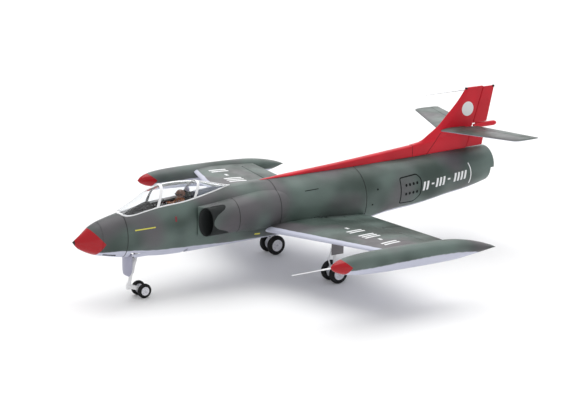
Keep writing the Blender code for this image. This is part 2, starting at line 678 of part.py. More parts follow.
def make_canopy():
    ring = bmesh.new()
    loops = []
    for sx, ss, rise in ((1.0, 1.0, 0.0006), (0.97, 0.99, 0.0012), (0.84, 0.95, 0.0012), (0.84, 0.95, -0.0035),
                         (1.0, 1.0, -0.0035)):
        loops.append([ring.verts.new(p) for p in hatch_rings(sx, ss, rise)])
    for low, high in zip(loops, loops[1:] + loops[:1]):
        join_rings(ring, low, high)
    bows = []
    for place in (WINDSCREEN_BOW, REAR_BOW):
        rings = []
        for k in range(13):
            points = []
            for offset, lift in ((-0.003, 0.0008), (0.003, 0.0008), (0.003, 0.0024), (-0.003, 0.0024)):
                t = math.pi * k / 12
                s = place + BOW_LEAN * math.sin(t) + offset
                half = curve(HATCH, s)[0] * 0.925 + lift
                sill = body_top(curve(HATCH, s)[0], s) - 0.001
                top = curve(CANOPY, s)[0] + lift
                points.append(at(half * power(math.cos(t), 0.85), s,
                                 sill + (top - sill) * power(math.sin(t), 0.85)))
            rings.append(points)
        bows.append(solid(rings))
    frame = merge("canopy_frame", ring, bows, WHITE)

    rows = [0.132, 0.145, 0.162, 0.185, 0.210, 0.240, 0.280, 0.320, 0.355, 0.390, 0.420, 0.441]
    glass = bmesh.new()
    skins = []
    for scale, drop, rise in ((0.925, 0.0, 0.0022), (0.885, 0.0012, 0.0022)):
        grid = []
        for s in rows:
            grid.append([glass.verts.new(at(x, s, z)) for x, z in canopy_arch(scale, s, 10, drop, rise)])
        for low, high in zip(grid, grid[1:]):
            for i in range(10):
                glass.faces.new((low[i], low[i + 1], high[i + 1], high[i]))
        skins.append(grid)
    outer, inner = skins
    for row in (0, -1):
        for i in range(10):
            glass.faces.new((outer[row][i], outer[row][i + 1], inner[row][i + 1], inner[row][i]))
    for low in range(len(rows) - 1):
        for edge in (0, 10):
            glass.faces.new((outer[low][edge], outer[low + 1][edge],
                             inner[low + 1][edge], inner[low][edge]))
    pane = make("canopy_glass", glass, CLEAR)

    tub = bmesh.new()
    outline = [hatch_rings(0.82, 0.94, -0.0040), hatch_rings(0.76, 0.92, -0.0040),
               flat_rings(0.72, 0.90, 0.2115), flat_rings(0.78, 0.92, 0.2095)]
    walls = [[tub.verts.new(p) for p in loop] for loop in outline]
    join_rings(tub, walls[0], walls[1])
    join_rings(tub, walls[1], walls[2])
    tub.faces.new(walls[2])
    tub.faces.new(walls[3])
    join_rings(tub, walls[3], walls[0])
    tray = merge("cockpit_tub", tub, [], BLACK)

    seat = merge("pilot_seat", box((-0.0150, 0.2860, 0.2122), (0.0150, 0.3270, 0.2200)),
                 [box((-0.0140, 0.3170, 0.2140), (0.0140, 0.3270, 0.2560)),
                  box((-0.0080, 0.3180, 0.2500), (0.0080, 0.3260, 0.2660))], BLACK)
    torso = rod_rings(at(0, 0.3020, 0.2206), at(0, 0.3020, 0.2400),
                      [(0.0, 0.0105), (0.5, 0.0135), (0.85, 0.0125), (1.0, 0.0070)], 12)
    head = rod_rings(at(0, 0.3020, 0.2385), at(0, 0.3020, 0.2625),
                     [(0.0, 0.0050), (0.2, 0.0095), (0.5, 0.0115), (0.8, 0.0095), (1.0, 0.0040)], 12)
    pilot = merge("pilot", solid(torso), [solid(head)], FABRIC)
    for piece in (pane, tray, seat, pilot):
        follow(piece, frame)


# ---- power and equipment --------------------------------------------------------------
def make_fan():
    front, back = FAN_S - 0.030, FAN_S + 0.034
    centre = [at(0, front, FAN_Z), at(0, back, FAN_Z)]
    housing = shell(rod_rings(*centre, [(0.0, 0.0445), (1.0, 0.0425)], TUBE_SIDES),
                    rod_rings(*centre, [(0.0, FAN_R), (1.0, 0.0400)], TUBE_SIDES))
    pod = solid(rod_rings(at(0, FAN_S + 0.004, FAN_Z), at(0, FAN_S + 0.060, FAN_Z),
                          [(0.0, 0.0170), (0.55, 0.0170), (1.0, 0.0060)], 14))
    vanes = []
    for k in range(5):
        turn = Matrix.Rotation(2 * math.pi * k / 5, 4, 'Y')
        vane = box((-0.0007, LENGTH / 2 + 0.012, 0.0150), (0.0007, LENGTH / 2 + 0.030, 0.0418))
        vane.transform(Matrix.Translation(at(0, FAN_S, FAN_Z)) @ turn)
        vanes.append(vane)
    housing_obj = merge("fan_housing", housing, [pod] + vanes, BLACK)

    spinner = solid(rod_rings(at(0, FAN_S - 0.030, FAN_Z), at(0, FAN_S + 0.002, FAN_Z),
                              [(0.0, 0.0020), (0.15, 0.0090), (0.4, 0.0150), (1.0, 0.0170)], 14))
    blades = []
    count = 9
    for k in range(count):
        bm = bmesh.new()
        rings = []
        for r, twist in ((0.0130, 52), (0.0270, 40), (0.0388, 30)):
            c, t = 0.0085, 0.0009
            a = math.radians(twist)
            ring = []
            for u, v in ((-c, -t), (c, -t), (c, t), (-c, t)):
                ring.append(Vector((u * math.cos(a) - v * math.sin(a), u * math.sin(a) + v * math.cos(a), r)))
            rings.append(ring)
        add_loft(bm, rings)
        turn = Matrix.Rotation(2 * math.pi * k / count, 4, 'Y')
        bm.transform(Matrix.Translation(at(0, FAN_S - 0.0085, FAN_Z)) @ turn)
        blades.append(bm)
    merge("fan_rotor", spinner, blades, BLACK, at(0, FAN_S, FAN_Z))
    return housing_obj


def make_thrust_tube():
    rows = [(FAN_S + 0.0345, FAN_Z, 0.0420), (0.930, 0.190, 0.0405),
            (1.100, 0.200, 0.0385), (1.275, 0.2112, 0.0370)]
    outer, inner = [], []
    for s, z, r in rows:
        for store, radius in ((outer, r), (inner, r - 0.0012)):
            store.append([at(radius * math.cos(2 * math.pi * k / TUBE_SIDES), s,
                             z + radius * math.sin(2 * math.pi * k / TUBE_SIDES)) for k in range(TUBE_SIDES)])
    return make("thrust_tube", shell(outer, inner), GREY)


def make_equipment():
    make("battery", box((-0.0230, 0.3150, 0.1250), (0.0230, 0.4500, 0.1680), 0.003), BLUE)
    make("speed_controller", box((-0.0170, 0.4700, 0.1350), (0.0170, 0.5350, 0.1510), 0.002), BLACK)
    make("receiver", box((-0.0130, 0.1100, 0.1700), (0.0130, 0.1450, 0.1820), 0.0015), BLACK)
    make("wing_spar", solid(spar_rings(0.0042, 0.2550)), CARBON)


# ---- landing gear ---------------------------------------------------------------------
def tyre_rings(x, station, z, radius, width, bore):
    """Tyre section turned about the axle, as rings along the tyre's own outline."""
    shape = [(0.50, 0.84), (0.32, 1.00), (-0.32, 1.00), (-0.50, 0.84)]
    shape = [(u * width, v * radius) for u, v in shape] + [(-0.42 * width, bore), (0.42 * width, bore)]
    return wheel_rings(x, station, z, shape)


def wheel_rings(x, station, z, shape):
    """Copies of an outline of (sideways, radius) pairs round an axle, with a flat side underneath."""
    swell = 1 / math.cos(math.pi / WHEEL_SIDES)
    rings = []
    for k in range(WHEEL_SIDES):
        a = 2 * math.pi * (k + 0.5) / WHEEL_SIDES
        rings.append([at(x + u, station + swell * r * math.cos(a), z + swell * r * math.sin(a))
                      for u, r in shape])
    return rings


def turned(rings):
    """Close a set of section rings into a full turn."""
    bm = bmesh.new()
    loops = [[bm.verts.new(p) for p in ring] for ring in rings]
    for low, high in zip(loops, loops[1:] + loops[:1]):
        join_rings(bm, low, high)
    return bm


def make_wheel(name, x, station, z, radius, width, axle_r, parent):
    """A rubber tyre on a plastic hub with a plain axle bore."""
    bore = radius * 0.60
    centre = at(x, station, z)
    tyre = make(f"{name}_tyre", turned(tyre_rings(x, station, z, radius, width, bore)), RUBBER, centre)
    rim = bore - GAP
    shape = [(0.40 * width, rim), (0.46 * width, rim * 0.86), (0.30 * width, rim * 0.70),
             (0.46 * width, axle_r + 0.00007)]
    shape = shape + [(-u, r) for u, r in shape[::-1]]
    hub = make(f"{name}_hub", turned(wheel_rings(x, station, z, shape)), WHITE, centre)
    follow(hub, parent)
    tyre.location = Vector((0.0, 0.0, 0.0))
    tyre.parent = hub
    return hub


def make_main_gear(side, name):
    x = side * MAIN_X
    pivot = at(x, MAIN_S, MAIN_PIVOT_Z)
    steps = [(0.0, 0.0060), (0.42, 0.0060), (0.45, 0.0040), (0.90, 0.0040), (0.92, 0.0062), (1.0, 0.0062)]
    leg = solid(rod_rings(pivot, at(x, MAIN_S, WHEEL_R - 0.004), steps, 12))
    trunnion = rod(at(x, MAIN_S - 0.0118, MAIN_PIVOT_Z), at(x, MAIN_S + 0.0118, MAIN_PIVOT_Z), 0.0032, 12)
    axle = rod(at(x - WHEEL_X - 0.0090, MAIN_S, WHEEL_R), at(x + WHEEL_X + 0.0090, MAIN_S, WHEEL_R),
               0.0024, 12)
    clip = box((x + side * 0.003, MAIN_S - 0.005, 0.1000), (x + side * 0.0118, MAIN_S + 0.005, 0.1040))
    strut = merge(f"main_strut_{name}", leg, [trunnion, axle, clip], WHITE, pivot)
    door = make(f"main_gear_door_{name}", box((x + side * 0.0121, MAIN_S - 0.0185, 0.0760),
                                              (x + side * 0.0137, MAIN_S + 0.0185, 0.1330)), GREY, pivot)
    follow(door, strut)
    for place, sign in (("outer", 1), ("inner", -1)):
        make_wheel(f"main_{place}_{name}", x + side * sign * WHEEL_X, MAIN_S, WHEEL_R, WHEEL_R, WHEEL_W,
                   0.0024, strut)
    cheeks = [box((x + side * 0.0115, MAIN_S - 0.0170, 0.1345), (x + side * 0.0270, MAIN_S + 0.0170, 0.1525)),
              box((x - side * 0.0060, MAIN_S - 0.0170, 0.1385), (x + side * 0.0150, MAIN_S - 0.0124, 0.1525)),
              box((x - side * 0.0060, MAIN_S + 0.0124, 0.1385), (x + side * 0.0150, MAIN_S + 0.0170, 0.1525))]
    merge(f"retract_unit_{name}", cheeks[0], cheeks[1:], BLACK)


def strut_point(t):
    """A point on the nose strut's axis, from the retract pivot (0) to the fork (1)."""
    (s0, z0), (s1, z1) = NOSE_PIVOT, NOSE_FORK
    return at(0.0, s0 + (s1 - s0) * t, z0 + (z1 - z0) * t)


def make_nose_gear():
    pivot = at(0, *NOSE_PIVOT)
    barrel = solid(rod_rings(strut_point(-0.03), strut_point(0.62),
                             [(0.0, 0.0058), (0.9, 0.0058), (1.0, 0.0050)], 12))
    pin = rod(at(-0.0115, *NOSE_PIVOT), at(0.0115, *NOSE_PIVOT), 0.0030, 12)
    arm = box((-0.0030, 0.1485, 0.1000), (0.0030, 0.1700, 0.1040))
    strut = merge("nose_strut", barrel, [pin, arm], WHITE, pivot)

    bend = [(-0.0250, 0.0030), (-0.0150, 0.0008), (0.0, 0.0), (0.0150, 0.0008), (0.0250, 0.0030)]
    rings = []
    for t, z, reach in ((0.0, 0.1230, 1.0), (0.7, 0.0760, 1.0), (1.0, 0.0620, 0.6)):
        front = 0.1458 - 0.0006 * t
        outer = [at(x * reach, front + d, z) for x, d in bend]
        inner = [at(x * reach, front + d + 0.0016, z) for x, d in bend[::-1]]
        rings.append(outer + inner)
    door = make("nose_gear_door", solid(rings), GREY, pivot)
    follow(door, strut)

    fork_top = strut_point(0.6235)
    fork = merge("nose_fork", rod(fork_top, strut_point(1.0), 0.0042),
                 [box((-0.0045, 0.1485, 0.0240), (0.0045, 0.1610, 0.0370)),
                  rod(at(-0.0098, *LINK_PIVOT), at(0.0098, *LINK_PIVOT), 0.0020, 10)], WHITE, fork_top)
    follow(fork, strut)

    arms = []
    for sign in (1, -1):
        low, high = sorted((sign * 0.0050, sign * 0.0085))
        bm = bmesh.new()
        outline = [(0.1525, 0.0368), (0.1610, 0.0368), (0.1935, 0.0218), (0.1935, 0.0150), (0.1880, 0.0150),
                   (0.1525, 0.0272)]
        add_loft(bm, [[at(low, s, z) for s, z in outline], [at(high, s, z) for s, z in outline]])
        boss = rod(at(low, *LINK_PIVOT), at(high, *LINK_PIVOT), 0.0024, 10)
        arms.append((bm, boss))
    reach = NOSE_WHEEL_X + 0.0070
    axle = rod(at(-reach, NOSE_AXLE_S, NOSE_WHEEL_R), at(reach, NOSE_AXLE_S, NOSE_WHEEL_R), 0.0020, 12)
    bridge = box((-0.0060, 0.1660, 0.0235), (0.0060, 0.1760, 0.0275))
    link = merge("nose_trailing_link", arms[0][0], [arms[1][0], axle, bridge], WHITE, at(0, *LINK_PIVOT))
    for (_, boss), sign in zip(arms, (1, -1)):
        boolean(link, make(f"link_bore_{sign}", boss, WHITE, cutter=True))
    follow(link, fork)
    for name, sign in (("left", 1), ("right", -1)):
        make_wheel(f"nose_{name}", sign * NOSE_WHEEL_X, NOSE_AXLE_S, NOSE_WHEEL_R, NOSE_WHEEL_R, NOSE_WHEEL_W,
                   0.0020, link)
    merge("nose_retract_unit", box((-0.0160, 0.1800, 0.1345), (0.0160, 0.2100, 0.1500)),
          [box((0.0120, 0.1700, 0.1200), (0.0160, 0.1900, 0.1500)),
           box((-0.0160, 0.1700, 0.1200), (-0.0120, 0.1900, 0.1500))], BLACK)


# ---- assembly -------------------------------------------------------------------------
def main():
    for obj in list(bpy.data.objects):
        bpy.data.objects.remove(obj, do_unlink=True)
    make_nose_cone()
    make_fuselage()
    make_duct()
    make_spine()
    make_fin()
    make_stabilizer()
    make_bullet()
    rudder_panel("rudder_lower", 0.2610, 0.3040, 1.2645, 1.2740)
    rudder_panel("rudder_upper", 0.3258, 0.4245, 1.2783, 1.3005)
    for side, name in ((1, "left"), (-1, "right")):
        make_intake(side, name)
        make_wing(side, name)
        make_tank(side, name)
        surface(f"flap_{name}", side, WING_ROOT, WING_TIP, FLAP_SPAN, HINGE_CHORD, CAMO)
        surface(f"aileron_{name}", side, WING_ROOT, WING_TIP, AILERON_SPAN, HINGE_CHORD, CAMO)
        surface(f"elevator_{name}", side, TAIL_ROOT, TAIL_TIP, ELEVATOR_SPAN, TAIL_HINGE_CHORD, CAMO)
        make_main_gear(side, name)
    make_canopy()
    make_fan()
    make_thrust_tube()
    make_equipment()
    make_nose_gear()
    make_probe("tank_pitot", at(TANK_X, 0.4397, 0.1590), at(TANK_X, 0.3300, 0.1590), WHITE)
    make_probe("fin_pitot", at(0, 1.1962, 0.4215), at(0, 1.0620, 0.4205), METAL)


main()
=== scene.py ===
"""Looks of the radio-controlled ducted-fan jet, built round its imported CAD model.

Places are given as (sideways, station, height): stations run aft from the nose tip, +X is port.
"""
import math
import bpy
import bmesh
from mathutils import Matrix, Vector


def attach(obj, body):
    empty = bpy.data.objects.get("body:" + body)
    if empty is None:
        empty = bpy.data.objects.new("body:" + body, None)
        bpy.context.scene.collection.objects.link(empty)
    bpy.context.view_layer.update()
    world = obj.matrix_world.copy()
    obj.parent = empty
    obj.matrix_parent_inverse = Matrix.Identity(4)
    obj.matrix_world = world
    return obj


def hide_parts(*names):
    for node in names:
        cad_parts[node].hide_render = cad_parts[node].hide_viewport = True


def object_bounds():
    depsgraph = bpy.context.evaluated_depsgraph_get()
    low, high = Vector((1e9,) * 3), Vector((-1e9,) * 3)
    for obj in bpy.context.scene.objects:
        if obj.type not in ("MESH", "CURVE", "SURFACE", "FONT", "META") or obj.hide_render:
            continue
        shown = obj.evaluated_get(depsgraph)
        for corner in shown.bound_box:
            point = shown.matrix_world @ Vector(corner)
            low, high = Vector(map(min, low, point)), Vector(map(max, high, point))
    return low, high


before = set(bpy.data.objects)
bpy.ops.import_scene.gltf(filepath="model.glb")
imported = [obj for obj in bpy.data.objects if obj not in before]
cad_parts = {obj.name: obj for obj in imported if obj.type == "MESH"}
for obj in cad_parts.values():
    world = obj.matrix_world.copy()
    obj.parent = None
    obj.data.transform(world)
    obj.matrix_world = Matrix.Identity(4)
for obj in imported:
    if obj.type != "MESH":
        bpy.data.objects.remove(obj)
CAD_LOW, CAD_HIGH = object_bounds()
LENGTH = CAD_HIGH.y - CAD_LOW.y
SIDES = ((1, "left"), (-1, "right"))

# ---- the airframe's shape, as in the CAD ----------------------------------------------
GAP = 0.0003
SHELL = 0.003
GROOVE = 0.0005           # depth of a panel line
GROOVE_HALF = 0.0008
AROUND = 96               # points round a fuselage section
NOSE_JOINT, FRONT_JOINT, REAR_JOINT, EXHAUST = 0.066, 0.558, 0.825, 1.285
NOSE_PANEL, NACELLE_PANEL = 0.1300, 0.4250

# station, centre height, half width, half height, upper exponent, lower exponent
FUSELAGE = [
    (0.000, 0.1690, 0.0010, 0.0010, 2.0, 2.0),
    (0.010, 0.1657, 0.0080, 0.0110, 2.0, 2.0),
    (0.022, 0.1650, 0.0150, 0.0195, 2.0, 2.0),
    (0.047, 0.1673, 0.0285, 0.0347, 2.0, 2.0),
    (0.066, 0.1684, 0.0350, 0.0419, 2.0, 2.0),
    (0.085, 0.1690, 0.0395, 0.0470, 2.0, 2.0),
    (0.123, 0.1695, 0.0440, 0.0555, 2.0, 2.0),
    (0.213, 0.1728, 0.0480, 0.0707, 2.3, 2.2),
    (0.300, 0.1753, 0.0495, 0.0752, 2.3, 2.3),
    (0.350, 0.1762, 0.0510, 0.0758, 2.3, 2.3),
    (0.400, 0.1770, 0.0545, 0.0758, 2.3, 2.3),
    (0.480, 0.1790, 0.0630, 0.0752, 2.2, 2.4),
    (0.560, 0.1812, 0.0715, 0.0746, 2.0, 2.5),
    (0.640, 0.1815, 0.0745, 0.0748, 2.0, 2.5),
    (0.825, 0.1815, 0.0745, 0.0745, 2.0, 2.4),
    (0.920, 0.1875, 0.0695, 0.0695, 2.0, 2.2),
    (1.032, 0.1915, 0.0665, 0.0665, 2.0, 2.0),
    (1.124, 0.1985, 0.0605, 0.0605, 2.0, 2.0),
    (1.204, 0.2035, 0.0555, 0.0555, 2.0, 2.0),
    (1.285, 0.2120, 0.0460, 0.0460, 2.0, 2.0),
]
# intake fairing outside the fuselage: station, inner face, width, centre height, half height
FAIRING = [
    (0.338, 0.0535, 0.0350, 0.1885, 0.0385),
    (0.350, 0.0520, 0.0372, 0.1886, 0.0392),
    (0.425, 0.0420, 0.0480, 0.1890, 0.0440),
    (0.500, 0.0280, 0.0565, 0.1885, 0.0520),
    (0.560, 0.0140, 0.0620, 0.1870, 0.0560),
    (0.620, 0.0020, 0.0660, 0.1850, 0.0560),
]
# inlet duct, inside face: station, inner face, width, centre height, half height
DUCT = [
    (0.348, 0.0560, 0.0305, 0.1885, 0.0355),
    (0.420, 0.0430, 0.0390, 0.1890, 0.0370),
    (0.500, 0.0180, 0.0450, 0.2000, 0.0350),
    (0.570, 0.0014, 0.0500, 0.2150, 0.0300),
    (0.640, 0.0014, 0.0480, 0.2200, 0.0270),
    (0.705, 0.0014, 0.0480, 0.2190, 0.0270),
    (0.792, 0.0014, 0.0396, 0.1860, 0.0410),
]
DUCT_WALL = 0.0012
LIP_AHEAD, LIP_AFT = 0.017, 0.009  # how far the mouth's inboard and outboard sides are raked
RAKE_START, RAKE_LENGTH = 0.338, 0.052
RAKE_INNER, RAKE_WIDTH = 0.0520, 0.0365
MOUTH = 0.3395            # where the duct's lining meets the intake lip

HATCH = [(0.123, 0.0005), (0.130, 0.0170), (0.145, 0.0250), (0.180, 0.0290), (0.240, 0.0310),
         (0.300, 0.0310), (0.350, 0.0265), (0.403, 0.0165), (0.449, 0.0005)]
HATCH_MID = 0.286
CANOPY = [(0.123, 0.2270), (0.145, 0.2370), (0.174, 0.2520), (0.205, 0.2705), (0.239, 0.2815),
          (0.283, 0.2845), (0.326, 0.2820), (0.360, 0.2760), (0.393, 0.2675), (0.449, 0.2520)]
WINDSCREEN_BOW, REAR_BOW, BOW_LEAN = 0.222, 0.329, 0.020
GLASS_SCALE = 0.925

# wing and tail surfaces, as (span position, leading edge, trailing edge, height, thickness ratio)
WING_ROOT = (0.0735, 0.5215, 0.8230, 0.1400, 0.100)
WING_TIP = (0.4430, 0.6040, 0.7990, 0.1670, 0.085)
HINGE_CHORD = 0.76
FLAP_SPAN = (0.0850, 0.2500)
AILERON_SPAN = (0.2530, 0.4240)
TAIL_ROOT = (0.0000, 1.1160, 1.2370, 0.3170, 0.085)
TAIL_TIP = (0.2270, 1.1985, 1.2800, 0.3235, 0.080)
TAIL_HINGE_CHORD = 0.70
ELEVATOR_SPAN = (0.0110, 0.2200)

TANK_X = 0.470
# tip tank: station, sideways shift, half width, half height, centre height
TANK = [
    (0.4400, 0.0000, 0.0008, 0.0008, 0.1590),
    (0.4490, 0.0000, 0.0090, 0.0090, 0.1586),
    (0.4680, 0.0000, 0.0172, 0.0172, 0.1580),
    (0.5010, 0.0000, 0.0232, 0.0232, 0.1570),
    (0.5460, 0.0000, 0.0265, 0.0265, 0.1558),
    (0.6100, 0.0000, 0.0280, 0.0280, 0.1545),
    (0.7400, 0.0000, 0.0280, 0.0278, 0.1522),
    (0.8050, 0.0010, 0.0276, 0.0250, 0.1508),
    (0.8520, 0.0040, 0.0246, 0.0180, 0.1496),
    (0.8900, 0.0090, 0.0196, 0.0095, 0.1480),
    (0.9160, 0.0140, 0.0148, 0.0012, 0.1468),
]
SPINE = [(0.538, 0.2560), (0.575, 0.2590), (0.611, 0.2615), (0.760, 0.2695), (0.900, 0.2795),
         (1.020, 0.2885)]
SPINE_W = 0.009
FIN_EDGE = [(0.2885, 1.020), (0.2935, 1.048), (0.3105, 1.079), (0.3310, 1.111),
            (0.3600, 1.142), (0.3910, 1.174), (0.4270, 1.203)]
FIN_TOP = 0.427
RUDDER_FOOT, RUDDER_HEAD = (1.209, 0.258), (1.2645, 0.4245)
BULLET_Z, BULLET_R = 0.3175, 0.007

# landing gear
MAIN_X, MAIN_S, MAIN_PIVOT_Z = 0.1475, 0.675, 0.145
WHEEL_R, WHEEL_W, WHEEL_X = 0.0265, 0.015, 0.0185
NOSE_WHEEL_R, NOSE_WHEEL_W, NOSE_WHEEL_X = 0.0185, 0.011, 0.0165
NOSE_PIVOT, NOSE_FORK = (0.178, 0.126), (0.152, 0.027)
NOSE_AXLE_S = 0.190
LINK_PIVOT = (0.1565, 0.032)
FAN_S, FAN_Z, FAN_R = 0.826, 0.186, 0.041


# ---- mesh helpers ---------------------------------------------------------------------
def at(x, station, z):
    """A point in the model's frame from its sideways place, station and height."""
    return Vector((x, station - LENGTH / 2, z))


def curve(rows, key):
    """Smooth values between the rows of a table whose first column is the key."""
    key = min(max(key, rows[0][0]), rows[-1][0])
    i = max(k for k in range(len(rows) - 1) if rows[k][0] <= key or k == 0)
    low, high = rows[i], rows[i + 1]
    step = high[0] - low[0]
    t = (key - low[0]) / step

    def slope(k, c):
        if k == 0 or k == len(rows) - 1:
            j = min(k, len(rows) - 2)
            return (rows[j + 1][c] - rows[j][c]) / (rows[j + 1][0] - rows[j][0])
        return (rows[k + 1][c] - rows[k - 1][c]) / (rows[k + 1][0] - rows[k - 1][0])

    values = []
    for c in range(1, len(low)):
        m0, m1 = slope(i, c) * step, slope(i + 1, c) * step
        values.append((2 * t**3 - 3 * t**2 + 1) * low[c] + (t**3 - 2 * t**2 + t) * m0
                      + (3 * t**2 - 2 * t**3) * high[c] + (t**3 - t**2) * m1)
    return values


def power(value, exponent):
    return math.copysign(abs(value) ** exponent, value)


def spread(first, last, step):
    """Values from first to last, about a step apart."""
    count = max(1, round(abs(last - first) / step))
    return [first + (last - first) * k / count for k in range(count + 1)]


def add_loft(bm, rings, capped=(True, True)):
    """Skin a list of closed rings, each with the same number of points."""
    loops = [[bm.verts.new(p) for p in ring] for ring in rings]
    count = len(loops[0])
    for low, high in zip(loops, loops[1:]):
        for i in range(count):
            j = (i + 1) % count
            bm.faces.new((low[i], low[j], high[j], high[i]))
    if capped[0]:
        bm.faces.new(loops[0])
    if capped[1]:
        bm.faces.new(loops[-1])
    return loops


def half_turn(steps):
    """Angles from nothing to half a turn."""
    return [math.pi * k / steps for k in range(steps + 1)]


def join_rings(bm, outer, inner):
    count = len(outer)
    for i in range(count):
        j = (i + 1) % count
        bm.faces.new((outer[i], outer[j], inner[j], inner[i]))


def solid(rings):
    bm = bmesh.new()
    add_loft(bm, rings)
    return bm


def shell(outer, inner, front_open=True):
    """A wall between an outer and an inner skin, open at the back and open or closed in front."""
    bm = bmesh.new()
    skin = add_loft(bm, outer, (not front_open, False))
    lining = add_loft(bm, inner, (not front_open, False))
    if front_open:
        join_rings(bm, skin[0], lining[0])
    join_rings(bm, skin[-1], lining[-1])
    return bm


def box(low, high, bevel=0.0, segments=2):
    """A box between two corners given as (x, station, z), with rounded edges."""
    bm = bmesh.new()
    corners = [at(x, s, z) for x in (low[0], high[0]) for s in (low[1], high[1]) for z in (low[2], high[2])]
    v = [bm.verts.new(c) for c in corners]
    for face in ((0, 1, 3, 2), (4, 6, 7, 5), (0, 4, 5, 1), (2, 3, 7, 6), (0, 2, 6, 4), (1, 5, 7, 3)):
        bm.faces.new([v[i] for i in face])
    if bevel:
        bmesh.ops.bevel(bm, geom=bm.edges[:], offset=bevel, segments=segments, affect='EDGES', profile=0.5)
    return bm


def ring_round(centre, axis, radius, sides):
    axis = Vector(axis).normalized()
    side = axis.orthogonal().normalized()
    other = axis.cross(side)
    return [Vector(centre) + side * radius * math.cos(2 * math.pi * k / sides)
            + other * radius * math.sin(2 * math.pi * k / sides) for k in range(sides)]


def lathe(start, end, outline, sides=32):
    """Turn an outline of (distance from start in metres, radius) pairs about the line to end."""
    start, end = Vector(start), Vector(end)
    axis = (end - start).normalized()
    return solid([ring_round(start + axis * d, axis, r, sides) for d, r in outline])


def rod(start, end, radius, sides=24):
    """A round bar with a small chamfer at each end."""
    length = (Vector(end) - Vector(start)).length
    chamfer = min(radius * 0.25, length * 0.2)
    outline = [(0, radius - chamfer), (chamfer, radius), (length - chamfer, radius),
               (length, radius - chamfer)]
    return lathe(start, end, outline, sides)


def tube_path(points, radius, sides=12):
    """A round bar that follows a list of points."""
    points = [Vector(p) for p in points]
    rings = []
    side = None
    for i, p in enumerate(points):
        along = (points[min(i + 1, len(points) - 1)] - points[max(i - 1, 0)]).normalized()
        side = along.orthogonal().normalized() if side is None else (side - along * side.dot(along)).normalized()
        other = along.cross(side)
        rings.append([p + side * radius * math.cos(2 * math.pi * k / sides)
                      + other * radius * math.sin(2 * math.pi * k / sides) for k in range(sides)])
    return solid(rings)


def join_meshes(*parts):
    """One mesh holding separate bodies."""
    whole = parts[0]
    for part in parts[1:]:
        mesh = bpy.data.meshes.new("part")
        part.to_mesh(mesh)
        part.free()
        whole.from_mesh(mesh)
        bpy.data.meshes.remove(mesh)
    return whole


def new_object(name, bm):
    bmesh.ops.remove_doubles(bm, verts=bm.verts, dist=1e-6)
    bmesh.ops.recalc_face_normals(bm, faces=bm.faces)
    mesh = bpy.data.meshes.new(name)
    bm.to_mesh(mesh)
    bm.free()
    obj = bpy.data.objects.new(name, mesh)
    bpy.context.scene.collection.objects.link(obj)
    return obj


def carve(obj, cutters):
    """Cut meshes out of an object for good."""
    tools = [new_object(f"tool_{k}", bm) for k, bm in enumerate(cutters)]
    for tool in tools:
        modifier = obj.modifiers.new("cut", 'BOOLEAN')
        modifier.operation = 'DIFFERENCE'
        modifier.solver = 'EXACT'
        modifier.object = tool
    graph = bpy.context.evaluated_depsgraph_get()
    mesh = bpy.data.meshes.new_from_object(obj.evaluated_get(graph))
    obj.modifiers.clear()
    obj.data = mesh
    for tool in tools:
        bpy.data.objects.remove(tool)


def piece(name, source, material, body, nodes=(), sharp=32):
    """Finish a piece: shading, material, the CAD body it rides on and the nodes it stands for."""
    obj = source if isinstance(source, bpy.types.Object) else new_object(name, source)
    obj.name = name
    obj.data.materials.clear()
    obj.data.materials.append(material)
    obj.data.shade_smooth()
    obj.data.set_sharp_from_angle(angle=math.radians(sharp))
    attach(obj, body)
    if nodes:
        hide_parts(*nodes)
    return obj


